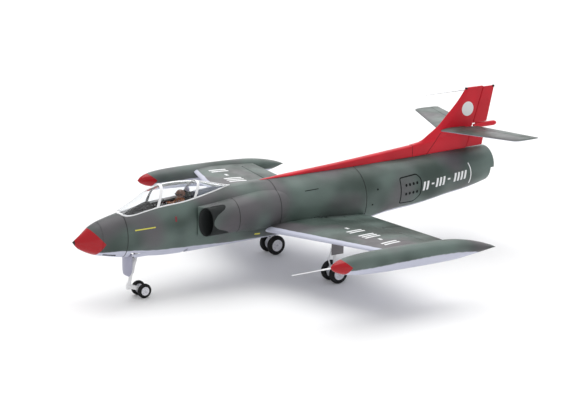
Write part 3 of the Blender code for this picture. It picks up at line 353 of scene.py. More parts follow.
# ---- materials ------------------------------------------------------------------------
class Look:
    """A material's node tree, with short calls for the nodes used here."""

    def __init__(self, name, roughness=0.5, metallic=0.0, specular=0.5, coat=0.0, coat_roughness=0.1):
        self.material = bpy.data.materials.new(name)
        self.material.use_nodes = True
        self.tree = self.material.node_tree
        self.shader = self.tree.nodes["Principled BSDF"]
        self.shader.inputs["Roughness"].default_value = roughness
        self.shader.inputs["Metallic"].default_value = metallic
        self.shader.inputs["Specular IOR Level"].default_value = specular
        self.shader.inputs["Coat Weight"].default_value = coat
        self.shader.inputs["Coat Roughness"].default_value = coat_roughness
        place = self.tree.nodes.new("ShaderNodeTexCoord")
        self.place = place.outputs["Object"]
        self.facing = place.outputs["Normal"]
        parts = self.node("ShaderNodeSeparateXYZ", self.place)
        self.x, self.y, self.z = parts.outputs[0], parts.outputs[1], parts.outputs[2]
        self.station = self.math('ADD', self.y, LENGTH / 2)

    def node(self, kind, *inputs, **settings):
        node = self.tree.nodes.new(kind)
        for key, value in settings.items():
            setattr(node, key, value)
        for socket, value in zip(node.inputs, inputs):
            self.feed(socket, value)
        return node

    def feed(self, socket, value):
        if isinstance(value, bpy.types.NodeSocket):
            self.tree.links.new(value, socket)
        elif value is not None:
            socket.default_value = value

    def math(self, operation, *inputs, clamp=False):
        return self.node("ShaderNodeMath", *inputs, operation=operation, use_clamp=clamp).outputs[0]

    def noise(self, scale, detail=2.0, rough=0.5, stretch=None, shift=None):
        place = self.place
        if stretch or shift:
            mapping = self.node("ShaderNodeMapping", place)
            mapping.inputs["Scale"].default_value = stretch or (1, 1, 1)
            mapping.inputs["Location"].default_value = shift or (0, 0, 0)
            place = mapping.outputs[0]
        node = self.node("ShaderNodeTexNoise")
        self.feed(node.inputs["Vector"], place)
        node.inputs["Scale"].default_value = scale
        node.inputs["Detail"].default_value = detail
        node.inputs["Roughness"].default_value = rough
        return node.outputs["Fac"]

    def ramp(self, value, low, high, to_low=0.0, to_high=1.0, smooth=True):
        node = self.node("ShaderNodeMapRange")
        node.interpolation_type = 'SMOOTHSTEP' if smooth else 'LINEAR'
        for name, item in (("Value", value), ("From Min", low), ("From Max", high),
                           ("To Min", to_low), ("To Max", to_high)):
            self.feed(node.inputs[name], item)
        return node.outputs["Result"]

    def mix(self, fraction, first, second):
        """Blend two colours by a 0 to 1 value."""
        node = self.node("ShaderNodeMix", data_type='RGBA')
        self.feed(node.inputs["Factor"], fraction)
        for socket, colour in ((node.inputs["A"], first), (node.inputs["B"], second)):
            target = [s for s in node.inputs if s.name == socket.name and s.type == 'RGBA'][0]
            self.feed(target, colour if isinstance(colour, bpy.types.NodeSocket) else (*colour, 1.0))
        return [s for s in node.outputs if s.type == 'RGBA'][0]

    def shade(self, colour, amount):
        """Multiply a colour by a value near one."""
        node = self.node("ShaderNodeVectorMath", operation='SCALE')
        self.feed(node.inputs[0], colour)
        self.feed(node.inputs["Scale"], amount)
        return node.outputs[0]

    def height_curve(self, pairs):
        """Height of a paint boundary at each station."""
        node = self.node("ShaderNodeFloatCurve")
        self.feed(node.inputs["Value"], self.math('DIVIDE', self.station, LENGTH))
        points = node.mapping.curves[0].points
        for k, (s, z) in enumerate(pairs):
            if k < 2:
                points[k].location = (s / LENGTH, z)
            else:
                points.new(s / LENGTH, z)
        node.mapping.update()
        return node.outputs[0]

    def bump(self, height, strength, distance=0.0004):
        node = self.node("ShaderNodeBump")
        node.inputs["Strength"].default_value = strength
        node.inputs["Distance"].default_value = distance
        self.feed(node.inputs["Height"], height)
        self.tree.links.new(node.outputs[0], self.shader.inputs["Normal"])

    def colour(self, value):
        self.feed(self.shader.inputs["Base Color"],
                  value if isinstance(value, bpy.types.NodeSocket) else (*value, 1.0))

    def roughness(self, value):
        self.feed(self.shader.inputs["Roughness"], value)


DARK_GREEN = (0.036, 0.055, 0.047)
GREY_GREEN = (0.110, 0.150, 0.136)
BROWN_GREY = (0.105, 0.092, 0.104)
UNDERSIDE = (0.520, 0.535, 0.640)
RED_TONE = (0.360, 0.004, 0.010)
WHITE_TONE = (0.850, 0.855, 0.870)
BELLY = [(0.0, 0.1400), (0.060, 0.1390), (0.132, 0.1365), (0.193, 0.1290), (0.277, 0.1235), (0.350, 0.1200),
         (0.408, 0.1165), (0.560, 0.1180), (0.825, 0.1240), (0.920, 0.1330), (1.032, 0.1390), (1.124,
                                                                                               0.1510),
         (1.204, 0.1600), (1.313, 0.1760)]


def camouflage(look):
    """Soft sprayed patches of green, pale green and brown, with a fine grain."""
    patches = look.ramp(look.noise(9.0, 1.5, 0.5, stretch=(1, 0.8, 1.3)), 0.36, 0.66)
    brown = look.ramp(look.noise(7.0, 1.0, 0.5, shift=(3.1, 1.7, 0.4)), 0.46, 0.68, 0.0, 0.80)
    base = look.mix(patches, DARK_GREEN, GREY_GREEN)
    base = look.mix(brown, base, BROWN_GREY)
    grain = look.ramp(look.noise(900.0, 2.0), 0.3, 0.7, 0.93, 1.07, smooth=False)
    return look.shade(base, grain)


def satin(look, low=0.36, high=0.50):
    """Uneven satin paint with a faint orange peel."""
    look.roughness(look.ramp(look.noise(35.0, 3.0), 0.3, 0.7, low, high, smooth=False))
    look.bump(look.noise(520.0, 2.0), 0.06)


def underside_mask(look, height, feather=0.0016):
    """One below the paint boundary, zero above it."""
    wander = look.math('MULTIPLY', look.math('SUBTRACT', look.noise(60.0, 1.0), 0.5), 0.003)
    above = look.math('SUBTRACT', look.math('ADD', look.z, wander), height)
    return look.ramp(above, feather, -feather)


def nose_mask(look, tip_z, reach, up, down, edge=0.0005):
    """One on the red nose, whose edge runs aft to a point on each side."""
    above = look.math('SUBTRACT', look.z, tip_z)
    rise = look.math('MULTIPLY', look.math('MAXIMUM', above, 0.0), up)
    fall = look.math('MULTIPLY', look.math('MAXIMUM', look.math('MULTIPLY', above, -1.0), 0.0), down)
    border = look.math('SUBTRACT', look.math('SUBTRACT', reach, rise), fall)
    return look.ramp(look.math('SUBTRACT', look.station, border), edge, -edge)


def dark_lines(look, colour, places, half=0.0017):
    """Darker bands along the grooves that run round the body at the given stations."""
    for place in places:
        away = look.math('ABSOLUTE', look.math('SUBTRACT', look.station, place))
        colour = look.mix(look.ramp(away, half, half * 0.4, 0.0, 0.82), colour, (0.012, 0.014, 0.014))
    return colour


def fuselage_look():
    look = Look("camouflaged_fuselage", specular=0.34)
    colour = camouflage(look)
    colour = look.mix(underside_mask(look, look.height_curve(BELLY)), colour, UNDERSIDE)
    colour = look.mix(nose_mask(look, 0.1615, 0.0740, 0.86, 0.62), colour, RED_TONE)
    colour = look.mix(look.ramp(look.station, 0.0052, 0.0046), colour, (0.015, 0.015, 0.015))
    look.colour(dark_lines(look, colour, (NOSE_PANEL, FRONT_JOINT, REAR_JOINT)))
    gloss = nose_mask(look, 0.1615, 0.0740, 0.86, 0.62)
    uneven = look.ramp(look.noise(35.0, 3.0), 0.3, 0.7, 0.36, 0.50, smooth=False)
    look.roughness(look.ramp(gloss, 0.0, 1.0, uneven, 0.16, smooth=False))
    look.bump(look.noise(520.0, 2.0), 0.05)
    return look.material


def fairing_look():
    look = Look("camouflaged_intake", specular=0.34)
    colour = look.mix(underside_mask(look, look.height_curve(BELLY)), camouflage(look), UNDERSIDE)
    look.colour(dark_lines(look, colour, (NACELLE_PANEL, FRONT_JOINT)))
    satin(look)
    return look.material


def tank_look():
    look = Look("camouflaged_tank", specular=0.34)
    line = look.height_curve([(0.0, 0.151), (0.447, 0.151), (0.513, 0.1500), (0.648, 0.1520),
                              (0.793, 0.1500),
                              (0.850, 0.1440), (0.885, 0.1370), (1.313, 0.1370)])
    colour = look.mix(underside_mask(look, line), camouflage(look), UNDERSIDE)
    mask = nose_mask(look, 0.1580, 0.4900, 1.15, 0.75)
    look.colour(look.mix(mask, colour, RED_TONE))
    look.roughness(look.ramp(mask, 0.0, 1.0, 0.42, 0.16, smooth=False))
    look.bump(look.noise(520.0, 2.0), 0.05)
    return look.material


def flat_surface_look(name, root, tip, band):
    """A wing or tailplane: camouflaged above, pale below and along a band behind the leading edge."""
    look = Look(name, specular=0.34)
    out = look.math('SUBTRACT', look.math('ABSOLUTE', look.x), root[0])
    slope = (tip[3] - root[3]) / (tip[0] - root[0])
    middle = look.math('MULTIPLY_ADD', out, slope, root[3])
    colour = camouflage(look)
    below = look.ramp(look.math('SUBTRACT', look.z, middle), 0.0004, -0.0004)
    if band:
        sweep = (tip[1] - root[1]) / (tip[0] - root[0])
        edge = look.math('MULTIPLY_ADD', out, sweep, root[1] + band)
        wander = look.math('MULTIPLY', look.math('SUBTRACT', look.noise(40.0, 1.0), 0.5), 0.004)
        ahead = look.ramp(look.math('ADD', look.math('SUBTRACT', look.station, edge), wander), 0.0012,
                          -0.0012)
        below = look.math('MAXIMUM', below, ahead)
    look.colour(look.mix(below, colour, UNDERSIDE))
    satin(look)
    return look.material


def plain_look(name, colour, low, high, grain=600.0, strength=0.05, vary=0.05, **settings):
    """An even colour with slight shade, roughness and surface variation."""
    look = Look(name, **settings)
    look.colour(look.shade(look.mix(look.noise(20.0, 2.0), colour, [c * (1 - 2 * vary) for c in colour]),
                           1.0))
    look.roughness(look.ramp(look.noise(45.0, 3.0), 0.3, 0.7, low, high, smooth=False))
    look.bump(look.noise(grain, 2.0), strength)
    return look.material


def red_look():
    look = Look("red_tail", specular=0.25)
    tone = look.ramp(look.noise(9.0, 2.0), 0.35, 0.65, 0.90, 1.10)
    colour = look.shade(look.mix(look.noise(14.0, 1.0), (0.520, 0.006, 0.018), (0.600, 0.014, 0.030)), tone)
    look.colour(dark_lines(look, colour, (1.0200,), 0.0009))
    satin(look, 0.30, 0.42)
    return look.material


def metal_look(name, colour, low, high, stretch):
    look = Look(name, metallic=1.0)
    brushed = look.noise(160.0, 3.0, 0.6, stretch=stretch)
    look.colour(look.shade(look.mix(brushed, colour, [c * 0.8 for c in colour]), 1.0))
    look.roughness(look.ramp(brushed, 0.3, 0.7, low, high, smooth=False))
    look.bump(brushed, 0.05)
    return look.material


def glass_look():
    look = Look("canopy_sheet", roughness=0.02, specular=0.5)
    look.shader.inputs["Transmission Weight"].default_value = 1.0
    look.shader.inputs["IOR"].default_value = 1.33
    look.colour(look.mix(look.noise(12.0, 1.0), (0.97, 0.98, 0.99), (0.93, 0.95, 0.96)))
    look.bump(look.noise(30.0, 1.0), 0.03, 0.0008)
    return look.material


def tyre_look():
    look = Look("foam_tyre", specular=0.25)
    dust = look.ramp(look.noise(120.0, 3.0), 0.45, 0.75, 0.0, 0.35)
    look.colour(look.mix(dust, (0.010, 0.010, 0.011), (0.036, 0.034, 0.032)))
    look.roughness(look.ramp(look.noise(80.0, 2.0), 0.3, 0.7, 0.70, 0.88, smooth=False))
    look.bump(look.noise(1500.0, 2.0), 0.25, 0.0002)
    return look.material


def wrapped_look():
    look = Look("battery_wrap", specular=0.5)
    wrinkle = look.noise(90.0, 3.0, 0.6, stretch=(1, 0.3, 1))
    look.colour(look.mix(wrinkle, (0.020, 0.060, 0.200), (0.030, 0.085, 0.260)))
    look.roughness(look.ramp(wrinkle, 0.3, 0.7, 0.18, 0.34, smooth=False))
    look.bump(wrinkle, 0.20, 0.0006)
    return look.material


def cloth_look(name, colour):
    look = Look(name, specular=0.2)
    weave = look.node("ShaderNodeTexWave", bands_direction='DIAGONAL')
    look.feed(weave.inputs["Vector"], look.place)
    weave.inputs["Scale"].default_value = 600.0
    look.colour(look.mix(look.noise(150.0, 2.0), colour, [c * 0.6 for c in colour]))
    look.roughness(look.ramp(look.noise(90.0, 2.0), 0.3, 0.7, 0.75, 0.92, smooth=False))
    look.bump(weave.outputs["Fac"], 0.15, 0.0002)
    return look.material


FUSELAGE_LOOK = fuselage_look()
FAIRING_LOOK = fairing_look()
TANK_LOOK = tank_look()
WING_LOOK = flat_surface_look("camouflaged_wing", WING_ROOT, WING_TIP, 0.0120)
TAIL_LOOK = flat_surface_look("camouflaged_tailplane", TAIL_ROOT, TAIL_TIP, 0.0)
RED_LOOK = red_look()
WHITE_LOOK = plain_look("white_moulding", WHITE_TONE, 0.28, 0.40)
HUB_LOOK = plain_look("wheel_moulding", (0.82, 0.82, 0.87), 0.30, 0.42)
GREY_LOOK = plain_look("pale_grey_paint", (0.36, 0.36, 0.46), 0.40, 0.55)
DOOR_LOOK = plain_look("main_door_paint", (0.180, 0.170, 0.175), 0.40, 0.55)
DUCT_LOOK = plain_look("duct_lining", (0.018, 0.021, 0.021), 0.55, 0.75, specular=0.2)
BLACK_LOOK = plain_look("black_moulding", (0.012, 0.012, 0.013), 0.42, 0.60, specular=0.3)
DECK_LOOK = plain_look("cockpit_deck", (0.170, 0.190, 0.235), 0.45, 0.60)
MARK_LOOK = plain_look("white_marking", (0.80, 0.81, 0.82), 0.40, 0.50, vary=0.03)
YELLOW_LOOK = plain_look("yellow_marking", (0.66, 0.62, 0.080), 0.40, 0.50, vary=0.04)
RED_MARK_LOOK = plain_look("red_marking", (0.230, 0.008, 0.022), 0.40, 0.50)
# near-black for the panel lines and seams, and for the painted shade laid over the slot under the nose
DARK_LINE_AND_SHADE_LOOK = plain_look("dark_line_and_slot_shade", (0.008, 0.010, 0.010), 0.70, 0.85, specular=0.1)
STEEL_LOOK = metal_look("bright_steel", (0.72, 0.73, 0.76), 0.18, 0.30, (1, 1, 8))
TUBE_LOOK = metal_look("thrust_tube_metal", (0.40, 0.39, 0.38), 0.30, 0.45, (1, 8, 1))
GLASS_LOOK = glass_look()
TYRE_LOOK = tyre_look()
BATTERY_LOOK = wrapped_look()
SUIT_LOOK = cloth_look("flight_suit", (0.440, 0.170, 0.070))
SEAT_LOOK = cloth_look("seat_fabric", (0.040, 0.044, 0.042))
HELMET_LOOK = plain_look("helmet_paint", (0.140, 0.055, 0.030), 0.30, 0.42, specular=0.3)
SKIN_LOOK = plain_look("painted_skin", (0.55, 0.29, 0.18), 0.45, 0.60)
CARBON_LOOK = plain_look("carbon_tube", (0.016, 0.016, 0.018), 0.20, 0.32, grain=1400.0, coat=0.5)


# ---- sections of the body -------------------------------------------------------------
def body_section(station, grow=0.0, count=AROUND):
    zc, a, b, n_up, n_down = curve(FUSELAGE, station)
    ring = []
    for k in range(count):
        t = 2 * math.pi * k / count
        n = n_up if math.sin(t) >= 0 else n_down
        ring.append(at((a + grow) * power(math.cos(t), 2 / n), station,
                       zc + (b + grow) * power(math.sin(t), 2 / n)))
    return ring


def body_top(x, station, grow=0.0):
    """Height of the fuselage's upper surface at a sideways place."""
    zc, a, b, n_up, _ = curve(FUSELAGE, station)
    return zc + (b + grow) * max(0.0, 1 - (abs(x) / (a + grow)) ** n_up) ** (1 / n_up)


def body_side(station, z, side, lift=0.0):
    """A point on the fuselage's side at a station and height."""
    zc, a, b, n_up, n_down = curve(FUSELAGE, station)
    n = n_up if z >= zc else n_down
    share = min(1.0, abs(z - zc) / (b + lift))
    return at(side * (a + lift) * (1 - share ** n) ** (1 / n), station, z)


def body_bottom(station, x):
    """Height of the fuselage's lower surface at a sideways place."""
    zc, a, b, _, n_down = curve(FUSELAGE, station)
    return zc - b * (1 - (x / a) ** n_down) ** (1 / n_down)


def body_block(first, last, step, grow=0.0):
    return solid([body_section(s, grow) for s in spread(first, last, step)])


def grooved(first, last, step, lines=()):
    """Stations with how far the skin stands in at each: a chamfer at both ends and at each panel line."""
    rows = [(first, -GROOVE), (first + GROOVE_HALF, 0.0)]
    rows += [(s, 0.0) for s in spread(first + step / 2, last - step / 2, step)
             if all(abs(s - line) > 2 * GROOVE_HALF for line in lines)]
    rows += [(last - GROOVE_HALF, 0.0), (last, -GROOVE)]
    for line in lines:
        rows += [(line - GROOVE_HALF, 0.0), (line, -GROOVE), (line + GROOVE_HALF, 0.0)]
    return sorted(rows)


def duct_section(side, station, grow=0.0, count=60):
    """The duct's inside face: an ellipse at the mouth, then flat along the middle of the fuselage."""
    face, width, zc, height = curve(DUCT, station)
    round_share = min(1.0, max(0.0, (0.460 - station) / 0.080))
    ring = []
    for k in range(count):
        t = 2 * math.pi * k / count
        flat_x = face - grow + (width + 2 * grow) * power(max(0.0, math.cos(t)), 0.9)
        round_x = face + width / 2 + (width / 2 + grow) * math.cos(t)
        z = zc + (height + grow) * power(math.sin(t), 0.9)
        ring.append(at(side * (flat_x + (round_x - flat_x) * round_share), station, z))
    return ring


def raked(side, ring):
    """The ring with its inboard side drawn forward and its outboard side aft, near the mouth."""
    moved = []
    for point in ring:
        station = point[1] + LENGTH / 2
        ahead = min(1.0, max(0.0, (station - RAKE_START) / RAKE_LENGTH))
        share = min(1.0, max(0.0, (side * point[0] - RAKE_INNER) / RAKE_WIDTH))
        shift = (share * (LIP_AHEAD + LIP_AFT) - LIP_AHEAD) * (1 - ahead * ahead * (3 - 2 * ahead))
        moved.append((point[0], point[1] + shift, point[2]))
    return moved


def fairing_section(side, station, grow=0.0, count=49):
    face, width, zc, height = curve(FAIRING, station)
    ring = []
    for k in range(count):
        t = math.pi * (k / (count - 1) - 0.5)
        x = face - grow + (width + 2 * grow) * power(max(0.0, math.cos(t)), 0.85)
        ring.append(at(side * x, station, zc + (height + grow) * power(math.sin(t), 0.9)))
    return ring


def foil(fraction):
    """Half thickness of a symmetrical aerofoil of thickness one, along its chord."""
    x = fraction
    return 5 * (0.2969 * math.sqrt(x) - 0.1260 * x - 0.3516 * x**2 + 0.2843 * x**3 - 0.1015 * x**4)


def span_row(root, tip, x):
    t = (x - root[0]) / (tip[0] - root[0])
    return [a + (b - a) * t for a, b in zip(root[1:], tip[1:])]


def foil_section(side, root, tip, x, points=36):
    le, te, z, ratio = span_row(root, tip, x)
    chord = te - le
    fractions = [(k / points) ** 1.7 for k in range(points + 1)]
    upper = [at(side * x, le + f * chord, z + ratio * chord * foil(f)) for f in fractions]
    lower = [at(side * x, le + f * chord, z - ratio * chord * foil(f)) for f in fractions[1:]]
    return upper + lower[::-1]


def hinge_point(root, tip, x, fraction):
    le, te, z, ratio = span_row(root, tip, x)
    return le + fraction * (te - le), z, ratio * (te - le) * foil(fraction), te


def hatch_outline(scale_x, scale_s, count):
    """Plan view of the hatch as (x, station) pairs, starting at the front point."""
    half = count // 2
    pairs = []
    for k in range(count):
        t = abs(half - k) / half
        t = 0.5 - 0.5 * math.cos(math.pi * t)
        station = HATCH[-1][0] - (HATCH[-1][0] - HATCH[0][0]) * t
        width = curve(HATCH, station)[0] * (1 if 0 < k < half else -1 if k > half else 0)
        pairs.append((width * scale_x, HATCH_MID + (station - HATCH_MID) * scale_s))
    return pairs


def hatch_rings(scale_x, scale_s, rise, count=96):
    """Points over the hatch outline at a rise above the fuselage skin."""
    edge = hatch_outline(1.0, 1.0, count)
    plan = hatch_outline(scale_x, scale_s, count)
    return [at(x, s, body_top(ex, es) + rise) for (x, s), (ex, es) in zip(plan, edge)]


def flat_rings(scale_x, scale_s, z, count=96, grow=0.0):
    ring = []
    for x, s in hatch_outline(scale_x, scale_s, count):
        push = math.copysign(grow, x) if abs(x) > 1e-4 else 0.0
        ring.append(at(x + push, s + (grow if s > HATCH_MID else -grow), z))
    return ring


# ---- fuselage -------------------------------------------------------------------------
def make_fuselage():
    tips = [0.0, 0.0015, 0.003, 0.005] + spread(0.0075, NOSE_JOINT - 0.003, 0.003)
    rows = [(s, 0.0) for s in tips] + [(NOSE_JOINT - GROOVE_HALF, 0.0), (NOSE_JOINT, -GROOVE)]
    piece("nose", solid([body_section(s, g) for s, g in rows]), FUSELAGE_LOOK, "airframe", ["nose_cone"])

    rows = grooved(NOSE_JOINT + GAP, FRONT_JOINT, 0.006, (NOSE_PANEL,))
    inner = [s for s, _ in rows]
    inner[0] = NOSE_JOINT + SHELL
    front = new_object("front", shell([body_section(s, g) for s, g in rows],
                                      [body_section(s, -SHELL) for s in inner], front_open=False))
    cuts = [solid([flat_rings(1, 1, 0.214, grow=0.0005), flat_rings(1, 1, 0.300, grow=0.0005)]),
            box((-0.0330, 0.1438, 0.0900), (0.0330, 0.3070, 0.1450))]
    for side, _ in SIDES:
        cuts.append(solid([duct_section(side, s, 0.0022) for s in [0.3300] + spread(0.348, 0.58, 0.012)]))
        cuts.append(rod(body_side(0.0760, 0.1310, side, -0.0005), body_side(0.1020, 0.1265, side, -0.0005),
                        0.0026, 16))
    carve(front, cuts)
    lips = []
    for side, _ in SIDES:
        rings = []
        for s in spread(0.1450, 0.3050, 0.008):
            deep = 0.0085 * min(1.0, (s - 0.1445) / 0.006, (0.3055 - s) / 0.020)
            edge = min(body_bottom(s, 0.0340) + 0.0012, 0.1240)
            rings.append([at(side * x, s, z) for x,
                          z in ((0.0334, edge), (0.0346, edge), (0.0343, edge - deep),
                                (0.0337, edge - deep))])
        lips.append(solid(rings))
    piece("nose_bay_lips", join_meshes(*lips), FUSELAGE_LOOK, "airframe")
    piece("fuselage_front_shell", front, FUSELAGE_LOOK, "airframe", ["fuselage_front"])

    rows = grooved(FRONT_JOINT + GAP, REAR_JOINT, 0.012)
    mid = new_object("mid", shell([body_section(s, g) for s, g in rows],
                                  [body_section(s, -SHELL) for s, _ in rows]))
    carve(mid, [box((-0.0600, 0.6440, 0.0900), (0.0600, 0.7060, 0.1500)),
                box((-0.0800, 0.6640, 0.1100), (0.0800, 0.6860, 0.1545))])
    piece("fuselage_middle_shell", mid, FUSELAGE_LOOK, "airframe", ["fuselage_mid"])

    rows = grooved(REAR_JOINT + GAP, EXHAUST, 0.008)
    rear = new_object("rear", shell([body_section(s, g) for s, g in rows],
                                    [body_section(s, -SHELL * 0.8) for s, _ in rows]))
    carve(rear, [box((-0.0700, 1.2610, 0.1500), (0.0700, 1.3000, 0.2060)),
                 box((-0.0700, 1.2730, 0.2000), (0.0700, 1.3000, 0.2800))])
    piece("fuselage_rear_shell", rear, FUSELAGE_LOOK, "airframe", ["fuselage_rear"])


def make_intakes():
    for side, name in SIDES:
        lip = [(0.3380, -0.0014), (0.3383, -0.0007), (0.3390, -0.0002), (0.3400, 0.0)]
        rows = lip + [(s, 0.0) for s in spread(0.344, NACELLE_PANEL - 0.004, 0.006)]
        rows += [(NACELLE_PANEL - GROOVE_HALF, 0.0), (NACELLE_PANEL, -GROOVE),
                 (NACELLE_PANEL + GROOVE_HALF, 0.0)]
        rows += [(s, 0.0) for s in spread(NACELLE_PANEL + 0.006, FRONT_JOINT - 0.003, 0.007)]
        rows += [(FRONT_JOINT - GROOVE_HALF, 0.0), (FRONT_JOINT, -GROOVE), (FRONT_JOINT + GROOVE_HALF, 0.0)]
        rows += [(s, 0.0) for s in spread(FRONT_JOINT + 0.004, 0.620, 0.007)]
        fairing = new_object("fairing", solid([raked(side, fairing_section(side, s, g)) for s, g in rows]))
        mouth = [0.330] + spread(0.348, 0.640, 0.012)
        carve(fairing, [solid([raked(side, duct_section(side, s, 0.0022)) for s in mouth]),
                        body_block(0.320, 0.650, 0.008, 0.0005)])
        piece(f"intake_{name}", fairing, FAIRING_LOOK, "airframe", [f"intake_fairing_{name}"])

    bm = None
    for side, _ in SIDES:
        lip = [(MOUTH, DUCT_WALL * 0.4, 0.0012), (MOUTH + 0.0006, DUCT_WALL * 0.8, 0.0004)]
        rows = [MOUTH + 0.0012] + spread(0.348, 0.792, 0.012)
        outer = [duct_section(side, s, o) for s, o,
                 _ in lip] + [duct_section(side, s, DUCT_WALL) for s in rows]
        inner = [duct_section(side, s, o) for s, _, o in lip] + [duct_section(side, s) for s in rows]
        part = shell([raked(side, ring) for ring in outer], [raked(side, ring) for ring in inner])
        bm = part if bm is None else join_meshes(bm, part)
    piece("inlet_duct_lining", bm, DUCT_LOOK, "airframe", ["inlet_duct"])


def make_spine():
    rings = []
    end = SPINE[-1][0] - GAP
    rows = spread(SPINE[0][0], end - GROOVE_HALF, 0.008) + [end]
    for s in rows:
        top = curve(SPINE, s)[0]
        dip = GROOVE if s == end else 0.0
        half = SPINE_W * min(1.0, 0.35 + (s - SPINE[0][0]) / 0.12) - dip
        arc = [at(half * power(math.cos(t), 0.8), s,
                  top - dip - half * 0.6 + half * 0.6 * power(math.sin(t), 0.9))
               for t in half_turn(20)]
        rings.append([at(half, s, 0.240)] + arc + [at(-half, s, 0.240)])
    spine = new_object("spine", solid(rings))
    carve(spine, [body_block(0.520, 1.060, 0.008, 0.0005)])
    piece("dorsal_spine", spine, RED_LOOK, "airframe", ["spine_fairing"])


# ---- tail -----------------------------------------------------------------------------
def rudder_line(z):
    (s0, z0), (s1, z1) = RUDDER_FOOT, RUDDER_HEAD
    return s0 + (s1 - s0) * (z - z0) / (z1 - z0)


def fin_half(z):
    return 0.0068 - 0.0035 * (z - 0.25) / (FIN_TOP - 0.25)


def fin_front(z):
    return FIN_EDGE[0][1] if z <= FIN_EDGE[0][0] else curve(FIN_EDGE, z)[0]


def fin_side(z, c):
    """Half thickness of the fin at a height and a fraction of its chord."""
    blunt = 1.0 - 0.90 * min(1.0, max(0.0, (z - 0.284) / 0.0125))
    shape = blunt + (1 - blunt) * math.sqrt(c / 0.25) if c < 0.25 else 1.0 - 0.28 * (c - 0.25)
    wide = fin_half(z) + (SPINE_W - fin_half(z)) * min(1.0, max(0.0, (0.300 - z) / 0.012))
    return (wide * (1 - c) + fin_half(z) * c) * shape


def make_fin():
    rings = []
    heights = [0.238, 0.250, 0.262, 0.275, 0.2840, 0.2870, 0.2885]
    heights += spread(0.2895, FIN_TOP - 0.0008, 0.0035) + [FIN_TOP]
    for z in heights:
        front, back = fin_front(z), rudder_line(z) - 0.0052
        trim = 0.0007 if z == FIN_TOP else 0.0
        chord = [(k / 28) ** 1.6 for k in range(29)]
        side = [(fin_side(z, c) - trim, front + trim + c * (back - front - 2 * trim)) for c in chord]
        rings.append([at(x, s, z) for x, s in side] + [at(-x, s, z) for x, s in side[::-1]])
    fin = new_object("fin", solid(rings))
    carve(fin, [body_block(1.000, EXHAUST, 0.008, 0.0005), stabilizer_block(0.016, 0.0004)])
    piece("fin_red", fin, RED_LOOK, "airframe", ["fin"], sharp=28)

    caps = []
    for corner, size in (((fin_front(FIN_TOP - 0.002), FIN_TOP - 0.0016), 0.0055),
                         ((rudder_line(FIN_TOP) - 0.0080, FIN_TOP - 0.0016), 0.0)):
        if size:
            caps.append(box((-0.0030, corner[0] - 0.0006, corner[1] - 0.0034),
                            (0.0030, corner[0] + size, corner[1] + 0.0018), 0.0010))
    piece("fin_tip_cap", caps[0], BLACK_LOOK, "airframe")


def rudder_panel(z_low, z_high, aft_low, aft_high):
    rings = []
    for z in spread(z_low, z_high, 0.004):
        aft = aft_low + (aft_high - aft_low) * (z - z_low) / (z_high - z_low)
        hinge = rudder_line(z)
        r = fin_half(z) * 0.72
        nose = [(r * math.sin(t), hinge - r * math.cos(t))
                for t in [math.pi * (k / 20 - 0.5) for k in range(21)]]
        rings.append([at(x, s, z) for x, s in nose] + [at(0.0006, aft, z), at(-0.0006, aft, z)])
    return solid(rings)


def stabilizer_block(reach, grow=0.0):
    rings = []
    for x in (-reach, 0.0, reach):
        le, te, z, ratio = span_row(TAIL_ROOT, TAIL_TIP, abs(x))
        chord = te - le
        fractions = [(k / 24) ** 1.7 for k in range(20)] + [TAIL_HINGE_CHORD]
        pts = [(le - grow + f * (chord + grow), ratio * chord * foil(f) + grow) for f in fractions]
        rings.append([at(x, s, z + h) for s, h in pts] + [at(x, s, z - h) for s, h in pts[::-1]])
    return solid(rings)


